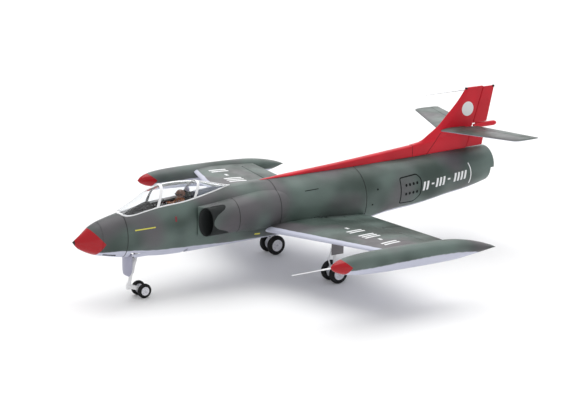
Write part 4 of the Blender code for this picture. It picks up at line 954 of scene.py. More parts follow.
def make_tail():
    tip_start, tip_end = 0.2130, 0.2270
    rings = []
    outer = [tip_start + (tip_end - tip_start) * math.sin(math.pi / 2 * k / 10) for k in range(11)]
    plan = spread(0.0, tip_start - 0.01, 0.012) + outer
    for x in [-v for v in plan[::-1]] + plan[1:]:
        le, te, z, ratio = span_row(TAIL_ROOT, TAIL_TIP, abs(x))
        u = max(0.0, (abs(x) - tip_start) / (tip_end - tip_start))
        pull = 1 - math.sqrt(max(0.0, 1 - u * u))
        le += 0.020 * pull
        chord = te - le - 0.010 * pull
        thin = max(0.12, math.sqrt(max(0.0, 1 - u * u)))
        fractions = [(k / 30) ** 1.7 for k in range(31)]
        pts = [(le + f * chord, thin * ratio * chord * foil(f)) for f in fractions]
        rings.append([at(x, s, z + h) for s, h in pts] + [at(x, s, z - h) for s, h in pts[:0:-1]])
    stab = new_object("stab", solid(rings))
    bays = []
    for side, _ in SIDES:
        floor = []
        for x, edge in ((0.0, 0), (ELEVATOR_SPAN[1] + 0.001, 0), (ELEVATOR_SPAN[1] + 0.001, 1), (0.0, 1)):
            hinge, _, half, te = hinge_point(TAIL_ROOT, TAIL_TIP, x, TAIL_HINGE_CHORD)
            floor.append(at(side * x, te + 0.03 if edge else hinge - half - 0.0009, 0.30))
        bays.append(solid([floor, [Vector((p.x, p.y, 0.34)) for p in floor]]))
    carve(stab, bays)
    piece("tailplane", stab, TAIL_LOOK, "airframe", ["stabilizer"])

    outline = [(0.0, 0.0045), (0.012, 0.0062), (0.035, BULLET_R), (0.066, BULLET_R)]
    outline += [(0.066 + 0.0125 * math.sin(t), 0.0004 + (BULLET_R - 0.0004) * math.cos(t))
                for t in [math.pi / 2 * k / 8 for k in range(1, 9)]]
    bullet = lathe(at(0, 1.2345, BULLET_Z), at(0, LENGTH, BULLET_Z), outline, 40)
    saddle = solid([[at(x * (1 - up), s, z) for x,
                     s in ((-0.0022, 1.2400), (0.0022, 1.2400), (0.0014, 1.2740), (-0.0014, 1.2740))]
                    for up, z in ((0.0, BULLET_Z), (0.0, 0.3246), (0.4, 0.3250))])
    piece("tail_cone", join_meshes(bullet, saddle), RED_LOOK, "airframe", ["tail_bullet"])
    piece("rudder_below", rudder_panel(0.2610, 0.3040, 1.2645, 1.2740), RED_LOOK, "rudder",
          ["rudder_lower"])
    piece("rudder_above", rudder_panel(0.3258, 0.4245, 1.2783, 1.3005), RED_LOOK, "rudder",
          ["rudder_upper"])
    cap = box((-0.0022, 1.2945, 0.4195), (0.0022, 1.3010, 0.4255), 0.0009)
    piece("rudder_tip_cap", cap, BLACK_LOOK, "rudder")


# ---- wings and tanks ------------------------------------------------------------------
def surface(side, root, tip, span, fraction):
    """Control surface with a round nose centred on its hinge line."""
    rings = []
    for x in spread(span[0], span[1], 0.010):
        hinge, z, half, te = hinge_point(root, tip, x, fraction)
        nose = [(hinge - half * math.cos(t), z + half * math.sin(t))
                for t in [math.pi * (k / 20 - 0.5) for k in range(21)]]
        rings.append([at(side * x, s, h) for s, h in nose[::-1]]
                     + [at(side * x, te, z - 0.0006), at(side * x, te, z + 0.0006)])
    return solid(rings)


def tank_section(side, station, grow=0.0, count=56):
    shift, a, b, z = curve(TANK, station)
    return [at(side * (TANK_X + shift) + (a + grow) * math.cos(2 * math.pi * k / count), station,
               z + (b + grow) * math.sin(2 * math.pi * k / count)) for k in range(count)]


def make_wings():
    for side, name in SIDES:
        sections = [foil_section(side, WING_ROOT, WING_TIP, x) for x in spread(0.040, 0.461, 0.0208)]
        wing = new_object("wing", solid(sections))
        floor = []
        for x, edge in ((FLAP_SPAN[0] - 0.001, 0), (AILERON_SPAN[1] + 0.001, 0),
                        (AILERON_SPAN[1] + 0.001, 1), (FLAP_SPAN[0] - 0.001, 1)):
            hinge, _, half, te = hinge_point(WING_ROOT, WING_TIP, x, HINGE_CHORD)
            floor.append(at(side * x, te + 0.05 if edge else hinge - half - 0.0008, 0.10))
        carve(wing, [
            body_block(0.480, 0.860, 0.012, 0.0005),
            solid([fairing_section(side, s, 0.0005) for s in spread(0.480, 0.620, 0.010)]),
            solid([tank_section(side, s, 0.0005) for s in spread(0.520, 0.880, 0.010)]),
            box((side * 0.4700, 0.50, 0.10), (side * 0.4900, 0.90, 0.20)),
            solid([floor, [Vector((p.x, p.y, 0.22)) for p in floor]]),
            box((side * 0.0500, 0.6535, 0.1000), (side * 0.1020, 0.6965, 0.1530)),
            box((side * 0.1000, 0.6535, 0.1000), (side * 0.1780, 0.6965, 0.1530)),
        ])
        piece(f"wing_{name}_skin", wing, WING_LOOK, "airframe", [f"wing_{name}"])
        rows = [0.440, 0.4415, 0.443, 0.446] + spread(0.449, 0.916, 0.006)
        tank = solid([tank_section(side, s) for s in rows])
        piece(f"tank_{name}", tank, TANK_LOOK, "airframe", [f"tip_tank_{name}"])
        for part, root, tip, span, fraction, look in (
                ("flap", WING_ROOT, WING_TIP, FLAP_SPAN, HINGE_CHORD, WING_LOOK),
                ("aileron", WING_ROOT, WING_TIP, AILERON_SPAN, HINGE_CHORD, WING_LOOK),
                ("elevator", TAIL_ROOT, TAIL_TIP, ELEVATOR_SPAN, TAIL_HINGE_CHORD, TAIL_LOOK)):
            piece(f"{part}_{name}_panel", surface(side, root, tip, span, fraction), look, f"{name}_{part}",
                  [f"{part}_{name}"])


def make_probes():
    for name, base, tip, look in (
            ("tank_pitot", at(TANK_X, 0.4397, 0.1590), at(TANK_X, 0.3300, 0.1590), WHITE_LOOK),
            ("fin_pitot", at(0, 1.1962, 0.4215), at(0, 1.0620, 0.4205), STEEL_LOOK)):
        reach = (tip - base).length
        outline = [(0.0, 0.0022), (0.20 * reach, 0.0019), (0.225 * reach, 0.0017), (0.235 * reach, 0.0012),
                   (0.985 * reach, 0.0010), (reach, 0.0004)]
        piece(f"{name}_boom", lathe(base, tip, outline, 20), look, "airframe", [name])


# ---- canopy and cockpit ---------------------------------------------------------------
def canopy_arch(scale, station, steps, drop=0.0, base_rise=0.0022):
    """Half loop over the cockpit at a station, from port sill to starboard sill."""
    half = curve(HATCH, station)[0] * scale
    sill = body_top(curve(HATCH, station)[0], station) + base_rise
    top = max(curve(CANOPY, station)[0] - drop, sill + 0.001)
    return [(half * power(math.cos(t), 0.85), sill + (top - sill) * power(math.sin(t), 0.85))
            for t in [math.pi * k / steps for k in range(steps + 1)]]


def make_glass():
    steps = 48
    rows = [0.132, 0.135, 0.139] + spread(0.144, 0.437, 0.005) + [0.441]
    bm = bmesh.new()
    skins = []
    for scale, drop in ((GLASS_SCALE, 0.0), (GLASS_SCALE - 0.022, 0.0008)):
        skins.append([[bm.verts.new(at(x, s, z)) for x, z in canopy_arch(scale, s, steps, drop)]
                      for s in rows])
        for low, high in zip(skins[-1], skins[-1][1:]):
            for i in range(steps):
                bm.faces.new((low[i], low[i + 1], high[i + 1], high[i]))
    outer, inner = skins
    for row in (0, -1):
        for i in range(steps):
            bm.faces.new((outer[row][i], outer[row][i + 1], inner[row][i + 1], inner[row][i]))
    for low in range(len(rows) - 1):
        for edge in (0, steps):
            bm.faces.new((outer[low][edge], outer[low + 1][edge], inner[low + 1][edge], inner[low][edge]))
    piece("canopy_clear", bm, GLASS_LOOK, "canopy_hatch", ["canopy_glass"], sharp=50)


def bow(place, lean, half_width, low_lift, high_lift, steps=40):
    """A frame arch over the glass."""
    rings = []
    for k in range(steps + 1):
        t = math.pi * k / steps
        points = []
        for offset, lift in ((-half_width, low_lift), (half_width, low_lift), (half_width, high_lift * 0.7),
                             (half_width * 0.6, high_lift), (-half_width * 0.6, high_lift), (-half_width,
                                                                                             high_lift * 0.7)):
            s = place + lean * math.sin(t) + offset
            half = curve(HATCH, s)[0] * GLASS_SCALE + lift
            sill = body_top(curve(HATCH, s)[0], s) - 0.001
            top = curve(CANOPY, s)[0] + lift
            points.append(at(half * power(math.cos(t), 0.85), s,
                             sill + (top - sill) * power(math.sin(t), 0.85)))
        rings.append(points)
    return solid(rings)


def make_canopy_frame():
    ring = bmesh.new()
    loops = []
    profile = ((1.0, 1.0, 0.0002), (0.995, 0.999, 0.0010), (0.975, 0.994, 0.0016), (0.90, 0.965, 0.0018),
               (0.86, 0.953, 0.0014), (0.84, 0.950, 0.0004), (0.84, 0.950, -0.0035), (1.0, 1.0, -0.0035))
    for scale_x, scale_s, rise in profile:
        loops.append([ring.verts.new(p) for p in hatch_rings(scale_x, scale_s, rise)])
    for low, high in zip(loops, loops[1:] + loops[:1]):
        join_rings(ring, low, high)
    bows = [bow(WINDSCREEN_BOW, BOW_LEAN, 0.0042, 0.0006, 0.0020),
            bow(REAR_BOW, BOW_LEAN, 0.0042, 0.0006, 0.0020)]
    crest = []
    for s in spread(REAR_BOW + BOW_LEAN, 0.443, 0.006):
        z = curve(CANOPY, s)[0]
        w = 0.0022
        crest.append([at(x, s, z + h) for x,
                      h in ((-w, 0.0002), (-w, 0.0009), (-w * 0.5, 0.0014), (w * 0.5, 0.0014),
                                                   (w, 0.0009), (w, 0.0002))])
    bm = join_meshes(ring, *bows, solid(crest))
    piece("canopy_frame_white", bm, WHITE_LOOK, "canopy_hatch", ["canopy_frame"])


def make_tub():
    bm = bmesh.new()
    outline = [hatch_rings(0.82, 0.94, -0.0040), hatch_rings(0.78, 0.925, -0.0040),
               flat_rings(0.74, 0.905, 0.2135),
               flat_rings(0.70, 0.895, 0.2115), flat_rings(0.78, 0.92, 0.2095)]
    walls = [[bm.verts.new(p) for p in loop] for loop in outline]
    for low, high in zip(walls[:3], walls[1:4]):
        join_rings(bm, low, high)
    bm.faces.new(walls[3])
    bm.faces.new(walls[4])
    join_rings(bm, walls[4], walls[0])
    piece("cockpit_well", bm, BLACK_LOOK, "canopy_hatch", ["cockpit_tub"])

    rings = []
    for s in spread(0.345, 0.425, 0.006):
        half = curve(HATCH, s)[0] * 0.76
        edge = body_top(curve(HATCH, s)[0], s)
        crown = 0.0085 * min(1.0, (0.432 - s) / 0.03)
        upper = [at(half * math.cos(t), s, edge - 0.002 + crown * math.sin(t)) for t in half_turn(16)]
        rings.append(upper + [at(-half, s, edge - 0.006), at(half, s, edge - 0.006)])
    piece("cockpit_rear_deck", solid(rings), DECK_LOOK, "canopy_hatch")

    rings = []
    for s in spread(0.146, 0.212, 0.005):
        half = curve(HATCH, s)[0] * 0.74
        edge = body_top(curve(HATCH, s)[0], s)
        crown = 0.0150 * math.sin(math.pi * min(1.0, (s - 0.140) / 0.085) / 2) ** 1.2
        upper = [at(half * math.cos(t), s, edge - 0.002 + crown * math.sin(t)) for t in half_turn(20)]
        rings.append(upper + [at(-half, s, edge - 0.007), at(half, s, edge - 0.007)])
    piece("instrument_shroud", solid(rings), BLACK_LOOK, "canopy_hatch")

    edge = body_top(0.030, 0.215)
    dials = []
    for x, z, r in ((-0.011, 0.0045, 0.0034), (0.0, 0.0055, 0.0038), (0.011, 0.0045, 0.0034),
                    (-0.0055, -0.0030, 0.0026), (0.0055, -0.0030, 0.0026)):
        dials.append(lathe(at(x, 0.2120, edge + z), at(x, 0.2140, edge + z),
                           [(0.0, r), (0.0008, r), (0.0013, r * 0.86), (0.0009, r * 0.80)], 24))
    piece("instrument_dials", join_meshes(*dials), WHITE_LOOK, "canopy_hatch")
    consoles = [box((side * 0.0150, 0.2200, 0.2135), (side * 0.0225, 0.3150, 0.2250), 0.0012) for side,
                _ in SIDES]
    piece("side_consoles", join_meshes(*consoles), BLACK_LOOK, "canopy_hatch")
    knobs = [lathe(at(side * 0.0185, s, 0.2248), at(side * 0.0185, s, 0.2280),
                   [(0, 0.0012), (0.0022, 0.0012), (0.0030, 0.0007)], 12)
             for side, _ in SIDES for s in (0.232, 0.241, 0.250, 0.262, 0.274)]
    piece("console_knobs", join_meshes(*knobs), WHITE_LOOK, "canopy_hatch")
    stick = join_meshes(rod(at(0, 0.262, 0.2120), at(0, 0.256, 0.2360), 0.0011, 12),
                        lathe(at(0, 0.2565, 0.2345), at(0, 0.2545, 0.2425),
                              [(0, 0.0012), (0.002, 0.0022), (0.006, 0.0024), (0.008, 0.0010)], 14))
    piece("control_stick", stick, BLACK_LOOK, "canopy_hatch")


def make_pilot():
    seat = join_meshes(box((-0.0150, 0.2860, 0.2122), (0.0150, 0.3270, 0.2200), 0.0022, 3),
                       box((-0.0140, 0.3180, 0.2140), (0.0140, 0.3270, 0.2560), 0.0025, 3))
    piece("seat_shell", seat, SEAT_LOOK, "canopy_hatch", ["pilot_seat"])
    arch = [at(0.0085 * math.cos(t), 0.3235, 0.2545 + 0.0125 * math.sin(t)) for t in half_turn(16)]
    rest = join_meshes(tube_path(arch, 0.0016),
                       box((-0.0072, 0.3205, 0.2520), (0.0072, 0.3262, 0.2640), 0.0018, 3))
    piece("headrest", rest, GREY_LOOK, "canopy_hatch")

    rings = []
    for z, wide, deep, shift in ((0.2206, 0.0105, 0.0085, 0.0), (0.2260, 0.0125, 0.0092, 0.0),
                                 (0.2330, 0.0142, 0.0088, 0.0),
                                 (0.2380, 0.0140, 0.0080, 0.0004), (0.2410, 0.0105, 0.0068,
                                                                    0.0008), (0.2432, 0.0060, 0.0055,
                                                                              0.0010)):
        rings.append([at(wide * power(math.cos(2 * math.pi * k / 28), 0.85),
                         0.3030 + shift + deep * math.sin(2 * math.pi * k / 28), z)
                      for k in range(28)])
    torso = solid(rings)
    arms = []
    for side, _ in SIDES:
        path = [at(side * 0.0125, 0.3030, 0.2370), at(side * 0.0152, 0.3000, 0.2310),
                at(side * 0.0150, 0.2930, 0.2255),
                at(side * 0.0110, 0.2820, 0.2265), at(side * 0.0050, 0.2700, 0.2310)]
        arms.append(tube_path(path, 0.0034, 14))
    piece("pilot_body", join_meshes(torso, *arms), SUIT_LOOK, "canopy_hatch", ["pilot"])
    straps = []
    for side, _ in SIDES:
        path = [at(side * 0.0060, 0.3120, 0.2420), at(side * 0.0062, 0.3020, 0.2424),
                at(side * 0.0058, 0.2955, 0.2360),
                at(side * 0.0030, 0.2940, 0.2290)]
        straps.append(tube_path(path, 0.0009, 8))
    piece("pilot_straps", join_meshes(*straps), DECK_LOOK, "canopy_hatch")

    face = lathe(at(0, 0.3015, 0.2400), at(0, 0.3015, 0.2580),
                 [(0.0, 0.0044), (0.003, 0.0054), (0.006, 0.0078), (0.010, 0.0090), (0.014, 0.0082),
                  (0.017, 0.0046)], 28)
    nose = lathe(at(0, 0.2936, 0.2478), at(0, 0.2905, 0.2470),
                 [(0.0, 0.0018), (0.0017, 0.0014), (0.0031, 0.0003)], 12)
    piece("pilot_face", join_meshes(face, nose), SKIN_LOOK, "canopy_hatch")
    rings = []
    for k in range(17):
        t = math.pi / 2 * k / 16
        r, z = 0.0118 * math.cos(t), 0.2492 + 0.0124 * math.sin(t)
        rings.append([at(r * math.cos(2 * math.pi * j / 32),
                         0.3035 + 1.08 * r * math.sin(2 * math.pi * j / 32), z) for j in range(32)])
    rim = [at(0.0114 * math.cos(2 * math.pi * j / 32), 0.3035 + 0.0120 * math.sin(2 * math.pi * j / 32),
              0.2462) for j in range(32)]
    helmet = solid([rim] + rings[:-1])
    visor = [at(0.0106 * math.sin(t), 0.3035 - 0.0136 * math.cos(t), 0.2512)
             for t in [math.pi * (k / 14 - 0.5) * 0.9 for k in range(15)]]
    piece("pilot_helmet", helmet, HELMET_LOOK, "canopy_hatch")
    piece("pilot_visor", tube_path(visor, 0.0013, 10), BLACK_LOOK, "canopy_hatch")


# ---- landing gear ---------------------------------------------------------------------
def turned(x, station, z, outline, sides=72):
    """Turn a closed outline of (sideways, radius) pairs about an axle along X."""
    bm = bmesh.new()
    loops = []
    for k in range(sides):
        a = 2 * math.pi * k / sides
        loops.append([bm.verts.new(at(x + u, station + r * math.cos(a), z + r * math.sin(a))) for u,
                      r in outline])
    for low, high in zip(loops, loops[1:] + loops[:1]):
        join_rings(bm, low, high)
    return bm


def make_wheel(node, body, x, station, z, radius, width, axle_r):
    bore = radius * 0.60
    tread = []
    half = width / 2
    for k in range(13):
        t = math.pi * (k / 12 - 0.5)
        tread.append((half * 0.96 * power(math.sin(t), 0.9),
                      bore * 1.04 + (radius - bore * 1.04) * power(math.cos(t), 0.42)))
    outline = [(-0.40 * width, bore)] + tread + [(0.40 * width, bore)]
    piece(f"{node}_rubber", turned(x, station, z, outline), TYRE_LOOK, body, [f"{node}_tyre"])

    rim = bore - 0.0001
    profile = [(0.44 * width, rim), (0.46 * width, rim * 0.96), (0.44 * width, rim * 0.86),
               (0.26 * width, rim * 0.78),
               (0.24 * width, rim * 0.50), (0.40 * width, rim * 0.34), (0.46 * width,
                                                                        rim * 0.30), (0.46 * width, axle_r + 0.0002)]
    hub = new_object("hub", turned(x, station, z, profile + [(-u, r) for u, r in profile[::-1]]))
    holes = []
    for k in range(5):
        a = 2 * math.pi * (k + 0.25) / 5
        y, h = station + rim * 0.64 * math.cos(a), z + rim * 0.64 * math.sin(a)
        holes.append(rod(at(x - width, y, h), at(x + width, y, h), rim * 0.105, 16))
    carve(hub, holes)
    piece(f"{node}_rim", hub, HUB_LOOK, body, [f"{node}_hub"])


def hexagon(x, station, z, radius, thickness, side):
    """A nut on an axle's end."""
    rings = []
    for u, r in ((0.0, radius), (thickness * 0.75, radius), (thickness, radius * 0.85)):
        rings.append([at(x + side * u, station + r * math.cos(math.pi * k / 3),
                         z + r * math.sin(math.pi * k / 3)) for k in range(6)])
    return solid(rings)


def make_main_gear(side, name):
    x = side * MAIN_X
    body = f"main_leg_{name}"
    drop = MAIN_PIVOT_Z - WHEEL_R + 0.004
    outline = [(0.0, 0.0052), (0.0010, 0.0060), (0.050, 0.0060), (0.0525, 0.0054), (0.0525, 0.0048),
               (0.0545, 0.0048),
               (0.0545, 0.0038), (drop * 0.88, 0.0038), (drop * 0.89, 0.0058), (drop * 0.90,
                                                                                0.0062), (drop - 0.001, 0.0062),
               (drop, 0.0052)]
    leg = lathe(at(x, MAIN_S, MAIN_PIVOT_Z), at(x, MAIN_S, WHEEL_R - 0.004), outline, 32)
    trunnion = rod(at(x, MAIN_S - 0.0118, MAIN_PIVOT_Z), at(x, MAIN_S + 0.0118, MAIN_PIVOT_Z), 0.0032, 20)
    collars = [lathe(at(x, MAIN_S, z), at(x, MAIN_S, z - 0.004),
                     [(0, 0.0062), (0.0005, 0.0070), (0.0035, 0.0070), (0.004, 0.0062)], 28)
               for z in (0.1340, 0.0985)]
    clip = box((x + side * 0.003, MAIN_S - 0.005, 0.1000), (x + side * 0.0118, MAIN_S + 0.005, 0.1040),
               0.0006)
    lug = box((x - 0.0030, MAIN_S - 0.0115, 0.0860), (x + 0.0030, MAIN_S - 0.0040, 0.0905), 0.0008)
    lug_low = box((x - 0.0030, MAIN_S - 0.0115, 0.0330), (x + 0.0030, MAIN_S - 0.0040, 0.0375), 0.0008)
    links = [rod(at(x, MAIN_S - 0.0095, 0.0880), at(x, MAIN_S - 0.0185, 0.0620), 0.0017, 12),
             rod(at(x, MAIN_S - 0.0185, 0.0620), at(x, MAIN_S - 0.0095, 0.0352), 0.0017, 12),
             rod(at(x - 0.0034, MAIN_S - 0.0185, 0.0620), at(x + 0.0034, MAIN_S - 0.0185, 0.0620), 0.0022,
                 16)]
    piece(f"main_leg_{name}_casting", join_meshes(leg, trunnion, *collars, clip, lug, lug_low, *links),
          WHITE_LOOK, body,
          [f"main_strut_{name}"])
    axle = join_meshes(rod(at(x - WHEEL_X - 0.0090, MAIN_S, WHEEL_R),
                           at(x + WHEEL_X + 0.0090, MAIN_S, WHEEL_R), 0.0022, 20),
                       *[hexagon(x + end * (WHEEL_X + 0.0072), MAIN_S, WHEEL_R, 0.0034, 0.0022, end)
                         for end in (1, -1)])
    piece(f"main_axle_{name}", axle, STEEL_LOOK, body)
    door = box((x + side * 0.0121, MAIN_S - 0.0185, 0.0760), (x + side * 0.0137, MAIN_S + 0.0185, 0.1330),
               0.0005)
    ribs = [box((x + side * 0.0113, MAIN_S - 0.0150, z), (x + side * 0.0122, MAIN_S + 0.0150, z + 0.0012),
                0.0003)
            for z in (0.0860, 0.1050, 0.1240)]
    piece(f"main_door_{name}", join_meshes(door, *ribs), DOOR_LOOK, body, [f"main_gear_door_{name}"])
    for place, sign in (("outer", 1), ("inner", -1)):
        make_wheel(f"main_{place}_{name}", f"main_{place}_wheel_{name}", x + side * sign * WHEEL_X, MAIN_S,
                   WHEEL_R,
                   WHEEL_R, WHEEL_W, 0.0024)


def strut_point(t, ahead=0.0):
    """A point along the nose strut, from the retract pivot (0) to the fork (1)."""
    (s0, z0), (s1, z1) = NOSE_PIVOT, NOSE_FORK
    return at(0.0, s0 + (s1 - s0) * t - ahead, z0 + (z1 - z0) * t)


def make_nose_gear():
    reach = (strut_point(1.0) - strut_point(0.0)).length
    barrel = lathe(strut_point(-0.03), strut_point(0.62),
                   [(0, 0.0050), (0.0010, 0.0058), (0.030, 0.0058), (0.031, 0.0064), (0.035, 0.0064),
                    (0.036, 0.0058),
                    (0.060, 0.0058), (0.061, 0.0063), (0.0645, 0.0063), (0.65 * reach, 0.0050)], 32)
    pin = rod(at(-0.0115, *NOSE_PIVOT), at(0.0115, *NOSE_PIVOT), 0.0030, 20)
    arm = box((-0.0030, 0.1485, 0.1000), (0.0030, 0.1700, 0.1040), 0.0006)
    brace = rod(at(0.0, 0.1500, 0.1010), at(0.0, 0.1480, 0.0800), 0.0015, 12)
    piece("nose_leg_casting", join_meshes(barrel, pin, arm, brace), WHITE_LOOK, "nose_leg", ["nose_strut"])

    bm = bmesh.new()
    steps, rows = 16, 20
    skins = []
    for inset in (0.0, 0.0015):
        grid = []
        for j in range(rows + 1):
            v = j / rows
            z = 0.1230 - 0.0610 * v
            wide = 0.0250 * (1.0 if v < 0.62 else math.sqrt(max(0.0, 1 - ((v - 0.62) / 0.46) ** 2)))
            grid.append([bm.verts.new(at(wide * u,
                                         0.1458 - 0.0006 * v + inset + 0.0046 * (wide * u / 0.025) ** 2, z))
                         for u in [2 * i / steps - 1 for i in range(steps + 1)]])
        for low, high in zip(grid, grid[1:]):
            for i in range(steps):
                bm.faces.new((low[i], low[i + 1], high[i + 1], high[i]))
        skins.append(grid)
    front, back = skins
    for row in (0, -1):
        for i in range(steps):
            bm.faces.new((front[row][i], front[row][i + 1], back[row][i + 1], back[row][i]))
    for j in range(rows):
        for edge in (0, steps):
            bm.faces.new((front[j][edge], front[j + 1][edge], back[j + 1][edge], back[j][edge]))
    ribs = [box((x - 0.0008, 0.1462, 0.0720), (x + 0.0008, 0.1482, 0.1200), 0.0004)
            for x in (-0.0100, 0.0100)]
    piece("nose_door_panel", join_meshes(bm, *ribs), GREY_LOOK, "nose_leg", ["nose_gear_door"])

    lower = strut_point(0.6235)
    length = (strut_point(1.0) - lower).length
    piston = lathe(lower, strut_point(1.0),
                   [(0, 0.0040), (0.0015, 0.0042), (length * 0.62, 0.0042), (length * 0.66, 0.0054),
                                             (length * 0.95, 0.0054), (length, 0.0046)], 28)
    yoke = box((-0.0045, 0.1485, 0.0240), (0.0045, 0.1610, 0.0370), 0.0012)
    hinge = rod(at(-0.0098, *LINK_PIVOT), at(0.0098, *LINK_PIVOT), 0.0020, 18)
    piece("nose_fork_casting", join_meshes(piston, yoke, hinge), WHITE_LOOK, "nose_steering", ["nose_fork"])

    arms = []
    for sign in (1, -1):
        low, high = sign * 0.0050, sign * 0.0085
        outline = []
        for (s, z), r, start in (((LINK_PIVOT[0], LINK_PIVOT[1]), 0.0048, 90),
                                 ((NOSE_AXLE_S, NOSE_WHEEL_R), 0.0042, -90)):
            outline += [(s + r * math.cos(math.radians(start + 180 * k / 10 - 22)),
                         z + r * math.sin(math.radians(start + 180 * k / 10 - 22)))
                        for k in range(11)]
        arms.append(solid([[at(low, s, z) for s, z in outline], [at(high, s, z) for s, z in outline]]))
    axle = rod(at(-NOSE_WHEEL_X - 0.0070, NOSE_AXLE_S, NOSE_WHEEL_R),
               at(NOSE_WHEEL_X + 0.0070, NOSE_AXLE_S, NOSE_WHEEL_R), 0.0019, 18)
    bridge = box((-0.0060, 0.1660, 0.0235), (0.0060, 0.1760, 0.0275), 0.0008)
    nuts = [hexagon(end * (NOSE_WHEEL_X + 0.0054), NOSE_AXLE_S, NOSE_WHEEL_R, 0.0028, 0.0018, end)
            for end in (1, -1)]
    piece("nose_link_casting", join_meshes(*arms, bridge), WHITE_LOOK, "nose_link", ["nose_trailing_link"])
    piece("nose_axle", join_meshes(axle, *nuts), STEEL_LOOK, "nose_link")
    for name, sign in (("left", 1), ("right", -1)):
        make_wheel(f"nose_{name}", f"nose_wheel_{name}", sign * NOSE_WHEEL_X, NOSE_AXLE_S, NOSE_WHEEL_R,
                   NOSE_WHEEL_R,
                   NOSE_WHEEL_W, 0.0020)


# ---- inside: thrust tube and the nodes that keep their CAD shape ------------------------
def make_thrust_tube():
    rows = [(FAN_S + 0.0345, FAN_Z, 0.0420), (0.930, 0.190, 0.0405), (1.100, 0.200, 0.0385),
            (1.258, 0.2098, 0.0372)]
    rings = {0.0: [], 0.0012: []}
    for s in spread(rows[0][0], rows[-1][0], 0.015):
        z, r = curve(rows, s)
        for wall, store in rings.items():
            store.append([at((r - wall) * math.cos(2 * math.pi * k / 64), s,
                             z + (r - wall) * math.sin(2 * math.pi * k / 64))
                          for k in range(64)])
    piece("exhaust_tube", shell(rings[0.0], rings[0.0012]), TUBE_LOOK, "airframe", ["thrust_tube"])


def finish_inside():
    looks = {"battery": BATTERY_LOOK, "speed_controller": BLACK_LOOK, "receiver": BLACK_LOOK,
             "wing_spar": CARBON_LOOK,
             "fan_housing": BLACK_LOOK, "fan_rotor": CARBON_LOOK, "retract_unit_left": BLACK_LOOK,
             "retract_unit_right": BLACK_LOOK, "nose_retract_unit": BLACK_LOOK}
    for name, look in looks.items():
        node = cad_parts[name]
        node.data.materials.clear()
        node.data.materials.append(look)


# ---- markings -------------------------------------------------------------------------
def patch(outline, put, cell=0.004, lift=0.00025, sink=0.0004):
    """A thin plate that follows a surface: put(u, v, lift) gives the surface's points."""
    bm = bmesh.new()
    bm.faces.new([bm.verts.new((u, v, 0.0)) for u, v in outline])
    for axis in (0, 1):
        values = [p[axis] for p in outline]
        for value in spread(min(values), max(values), cell)[1:-1]:
            place = Vector((value if axis == 0 else 0.0, value if axis == 1 else 0.0, 0.0))
            normal = Vector((1.0 - axis, float(axis), 0.0))
            bmesh.ops.bisect_plane(bm, geom=bm.verts[:] + bm.edges[:] + bm.faces[:], plane_co=place,
                                   plane_no=normal)
    base = bm.verts[:]
    raised = bmesh.ops.extrude_face_region(bm, geom=bm.faces[:])["geom"]
    for v in [v for v in raised if isinstance(v, bmesh.types.BMVert)]:
        v.co = put(v.co.x, v.co.y, lift)
    for v in base:
        v.co = put(v.co.x, v.co.y, -sink)
    return bm


def ribbon(path, width, put, lift=0.0002, sink=0.0004, closed=False):
    """A thin strip along a path on a surface."""
    count = len(path)
    rings = []
    for i, (u, v) in enumerate(path):
        before = path[i - 1] if closed or i else path[0]
        after = path[(i + 1) % count] if closed or i < count - 1 else path[-1]
        du, dv = after[0] - before[0], after[1] - before[1]
        size = math.hypot(du, dv)
        nu, nv = -dv / size * width / 2, du / size * width / 2
        rings.append([put(u + nu, v + nv, lift), put(u - nu, v - nv, lift), put(u - nu, v - nv, -sink),
                      put(u + nu, v + nv, -sink)])
    bm = bmesh.new()
    loops = add_loft(bm, rings, (not closed, not closed))
    if closed:
        join_rings(bm, loops[-1], loops[0])
    return bm


def disc_outline(u, v, ru, rv, count=20):
    return [(u + ru * math.cos(2 * math.pi * k / count), v + rv * math.sin(2 * math.pi * k / count))
            for k in range(count)]


def rounded(corners, radius, steps=5):
    """An outline with its corners rounded off."""
    path = []
    count = len(corners)
    for i, corner in enumerate(corners):
        corner = Vector(corner)
        before = (Vector(corners[i - 1]) - corner).normalized()
        after = (Vector(corners[(i + 1) % count]) - corner).normalized()
        start, end = corner + before * radius, corner + after * radius
        for k in range(steps + 1):
            t = k / steps
            point = start * (1 - t) ** 2 + corner * 2 * t * (1 - t) + end * t**2
            path.append((point.x, point.y))
    return path


def densify(path, step=0.003, closed=True):
    dense = []
    pairs = list(zip(path, path[1:] + path[:1])) if closed else list(zip(path, path[1:]))
    for (u0, v0), (u1, v1) in pairs:
        count = max(1, round(math.hypot(u1 - u0, v1 - v0) / step))
        dense += [(u0 + (u1 - u0) * k / count, v0 + (v1 - v0) * k / count) for k in range(count)]
    return dense if closed else dense + [path[-1]]


def on_side(side):
    return lambda s, z, lift: body_side(s, z, side, lift)


def on_wing(side):
    """Upper surface of a wing, from span position and station."""
    def put(x, s, lift):
        le, te, z, ratio = span_row(WING_ROOT, WING_TIP, x)
        chord = te - le
        return at(side * x, s, z + ratio * chord * foil(min(1.0, max(0.0, (s - le) / chord))) + lift)
    return put


def on_fin(side):
    """Side of the fin, from station and height."""
    def put(s, z, lift):
        front, back = fin_front(z), rudder_line(z) - 0.0052
        return at(side * (fin_side(z, (s - front) / (back - front)) + lift), s, z)
    return put


